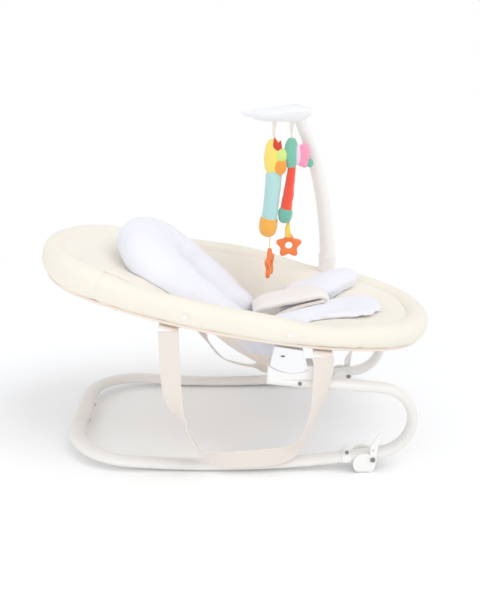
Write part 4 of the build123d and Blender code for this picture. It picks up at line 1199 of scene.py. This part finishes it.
# %% [markdown]
# ## Teether stars
# Under each creature hangs a star-shaped rubber ring with five rounded points. Its outline is a wave round a circle,
# and a section carried round it, from the outline to the round hole, gives the thickness and the soft edges.


# %% Teether stars
STAR_ROUND, STAR_POINTS, STAR_SHARPNESS = 100, 5, 1.25
STAR_HOLE, STAR_HALF_THICK = 0.008, 0.0040
HALF_SECTION = [  # step outwards, share of the way to the hole, depth
    (0.0, 0.0, -0.45),
    (-0.0012, 0.0, -0.85),
    (-0.0030, 0.0, -1.0),
    (0.0, 0.5, -1.0),
    (0.0012, 1.0, -0.92),
    (0.0, 1.0, -0.5),
]
STAR_SECTION = HALF_SECTION + [(step, share, -depth) for step, share, depth in reversed(HALF_SECTION)]


def star_ring(name, node, turn, radius, waist, drop, shift=0.0):
    """A star in the middle of its CAD star; drop is from the CAD star's top to its centre, shift is in x."""
    low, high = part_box(node)
    centre = Vector(((low[0] + high[0]) / 2 + shift, (low[1] + high[1]) / 2, high[2] - drop))
    rows = []
    for step_out, share, depth in STAR_SECTION:
        row = []
        for step in range(STAR_ROUND):
            angle = 2 * pi * step / STAR_ROUND
            wave = (0.5 + 0.5 * cos(STAR_POINTS * angle)) ** STAR_SHARPNESS
            reach = waist + (radius - waist) * wave
            reach = reach * (1 - share) + STAR_HOLE * share + step_out
            local = Vector((reach * sin(angle), depth * STAR_HALF_THICK, reach * cos(angle)))
            row.append(centre + Matrix.Rotation(turn, 3, "Z") @ local)
        rows.append(row)
    ring = skin(name, rows, closed_loop=True)
    smooth_shade(ring, 60)
    dress(ring, rubber, "orange_teether")
    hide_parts(node)
    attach(ring, node)
    print(name, "centre:", [round(value, 4) for value in centre])


star_ring("friend_star", "toy_b_star", 0.0, 0.028, 0.0190, drop=0.0215)
star_ring("bird_star", "toy_a_star", radians(75), 0.034, 0.0215, drop=0.034, shift=0.003)

# %% [markdown]
# ## Hub covers
# Each cover is the CAD cover made taller, so that it reaches the rim over the heads of the bracket's screws. The copy's
# points are merged first, and weighted normals keep its flat face even. A small bevelled dark bar in the moulded slot
# is painted shade, standing in for the shadow inside the slot. Both belong to the base, which stays still when the seat
# tilts.

# %% Hub covers
COVER_STRETCH = 1.19
SLOT_PLACE = (0.0841, 0.2196, 0.2480)  # x, distance aside, z
SLOT_SIZE = (0.0072, 0.0012, 0.0019)
for side_name, side in (("near", -1), ("far", 1)):
    cad_cover = f"hub_cover_{side_name}"
    cover = bpy.data.objects.new(f"hub_cover_shell_{side_name}", frame["nodes"][cad_cover].data.copy())
    bpy.context.scene.collection.objects.link(cover)
    select_only(cover)
    bpy.ops.object.mode_set(mode="EDIT")
    bpy.ops.mesh.select_all(action="SELECT")
    bpy.ops.mesh.remove_doubles(threshold=0.00002)
    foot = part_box(cad_cover)[0][2]
    bpy.ops.transform.resize(value=(1, 1, COVER_STRETCH), center_override=(0, 0, foot))
    bpy.ops.object.mode_set(mode="OBJECT")
    add_modifier(cover, "WEIGHTED_NORMAL", keep_sharp=True)
    smooth_shade(cover, 30)
    apply_all(cover)
    dress(cover, plastic_cover, "plastic")
    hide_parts(cad_cover)
    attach(cover, "base")
    # a dark bevelled bar set in the slot: painted shade standing in for the slot's shadow
    bpy.ops.object.select_all(action="DESELECT")
    bpy.ops.mesh.primitive_cube_add(size=1, location=(SLOT_PLACE[0], side * SLOT_PLACE[1], SLOT_PLACE[2]))
    slot_shade = bpy.context.object
    slot_shade.name = f"cover_slot_{side_name}"
    bpy.ops.transform.resize(value=SLOT_SIZE)
    bpy.ops.object.transform_apply(location=True, rotation=True, scale=True)
    add_modifier(slot_shade, "BEVEL", width=0.0008, segments=3)
    apply_all(slot_shade)
    dress(slot_shade, dark, "plastic")
    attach(slot_shade, "base")
print("hub covers:", len(cover.data.polygons), "faces each")

# %% [markdown]
# ## Finishes for the CAD parts
# The tubes, saddles, brackets, buttons, stoppers, screws, tabs and studs keep the shape that the CAD gave them. They
# only need their finish.


# %% Repaint the CAD parts
def both(*names):
    return [f"{name}_{side_name}" for name in names for side_name in ("near", "far")]


for finish, names in (
    (coat, [*both("base_tube"), "rear_sleeve", "rim_tube_head", "rim_tube_foot"]),
    (plastic, both("hub_saddle", "seat_bracket", "stopper_foot", "stopper_clip")),
    (plastic, ["toy_bar_socket", "toy_collar", "toy_post", "rim_studs"]),
    (plastic_grey, both("snap_button", "recline_button")),
    (zinc, ["pivot_bolts", "pivot_nuts", "saddle_screws", "stopper_pivots", "clip_screws"]),
    (zinc, ["snap_springs", "recline_springs"]),
    (webbing, ["strap_tabs"]),
):
    for node_name in names:
        repaint(node_name, finish)
shown = [name for name, node in frame["nodes"].items() if not node.hide_render]
print("CAD parts that show:", len(shown))

# %% Ride the seat's own pieces
# every new piece that has no body yet belongs to the seat
for piece in list(bpy.data.objects):
    new_piece = piece.type == "MESH" and "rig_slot" in piece and piece.name not in frame["nodes"]
    if new_piece and "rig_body" not in piece and not piece.parent:
        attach(piece, "seat")

# %% [markdown]
# ## Studio
# The floor is one white sheet that keeps the soft shadow near the seat and fades to plain white further out. To the
# camera the sky is plain white too, and as a light it is milder, so that pale fabric keeps its shades.

# %% Floor and background
bpy.ops.object.select_all(action="DESELECT")
bpy.ops.mesh.primitive_plane_add(size=16, location=(0, 0, 0))
floor = bpy.context.active_object
floor.name = "studio_floor"
floor_finish = Finish("studio floor", "FFFFFF", roughness=0.9, Specular_IOR_Level=0.0)
floor_x, floor_y, _ = floor_finish.split(floor_finish.place())
distance = floor_finish.maths("SQRT", floor_x * floor_x + floor_y * floor_y)
paper = floor_finish.node("ShaderNodeEmission", {}, (1, 1, 1, 1), 1.0)
matt = Wire(floor_finish, floor_finish.shader.outputs[0])
join = floor_finish.node("ShaderNodeMixShader", {}, distance.step(0.75, 1.5), matt, paper)
floor_finish.plug(floor_finish.tree.nodes["Material Output"].inputs["Surface"], join)
floor.data.materials.append(floor_finish.material)

world = bpy.data.worlds.new("studio")
bpy.context.scene.world = world
world.use_nodes = True
sky = Shading(world.node_tree)
sky_light = sky.tree.nodes["Background"]
sky.plug(sky_light.inputs["Color"], (0.95, 0.97, 1.0, 1))
sky.plug(sky_light.inputs["Strength"], 0.82)
seen_sky = sky.node("ShaderNodeBackground", {}, (1, 1, 1, 1), 1.0)
seen_rays = ("Is Camera Ray", "Is Glossy Ray", "Is Transmission Ray")
camera_ray, glossy_ray, clear_ray = sky.node("ShaderNodeLightPath", {}, out=seen_rays)
seen = sky.maths("MAXIMUM", sky.maths("MAXIMUM", camera_ray, glossy_ray), clear_ray)
chooser = sky.node("ShaderNodeMixShader", {}, seen, Wire(sky, sky_light.outputs[0]), seen_sky)
sky.plug(sky.tree.nodes["World Output"].inputs["Surface"], chooser)
print("floor and sky ready")


# %% Lamps
sun_data = bpy.data.lights.new("key", "SUN")
sun_data.energy = 0.80
sun_data.angle = radians(42)
sun_data.color = (1.0, 0.985, 0.96)
stand(sun_data, (0, 0, 0), Vector((-0.62, 0.30, -1.0)))

fill_data = bpy.data.lights.new("fill", "AREA")
fill_data.shape = "SQUARE"
fill_data.size = 2.2
fill_data.energy = 14
fill_data.color = (0.97, 0.98, 1.0)
stand(fill_data, (-1.2, -2.6, 1.2), Vector((0, 0, 0.3)))
print("lamps ready")
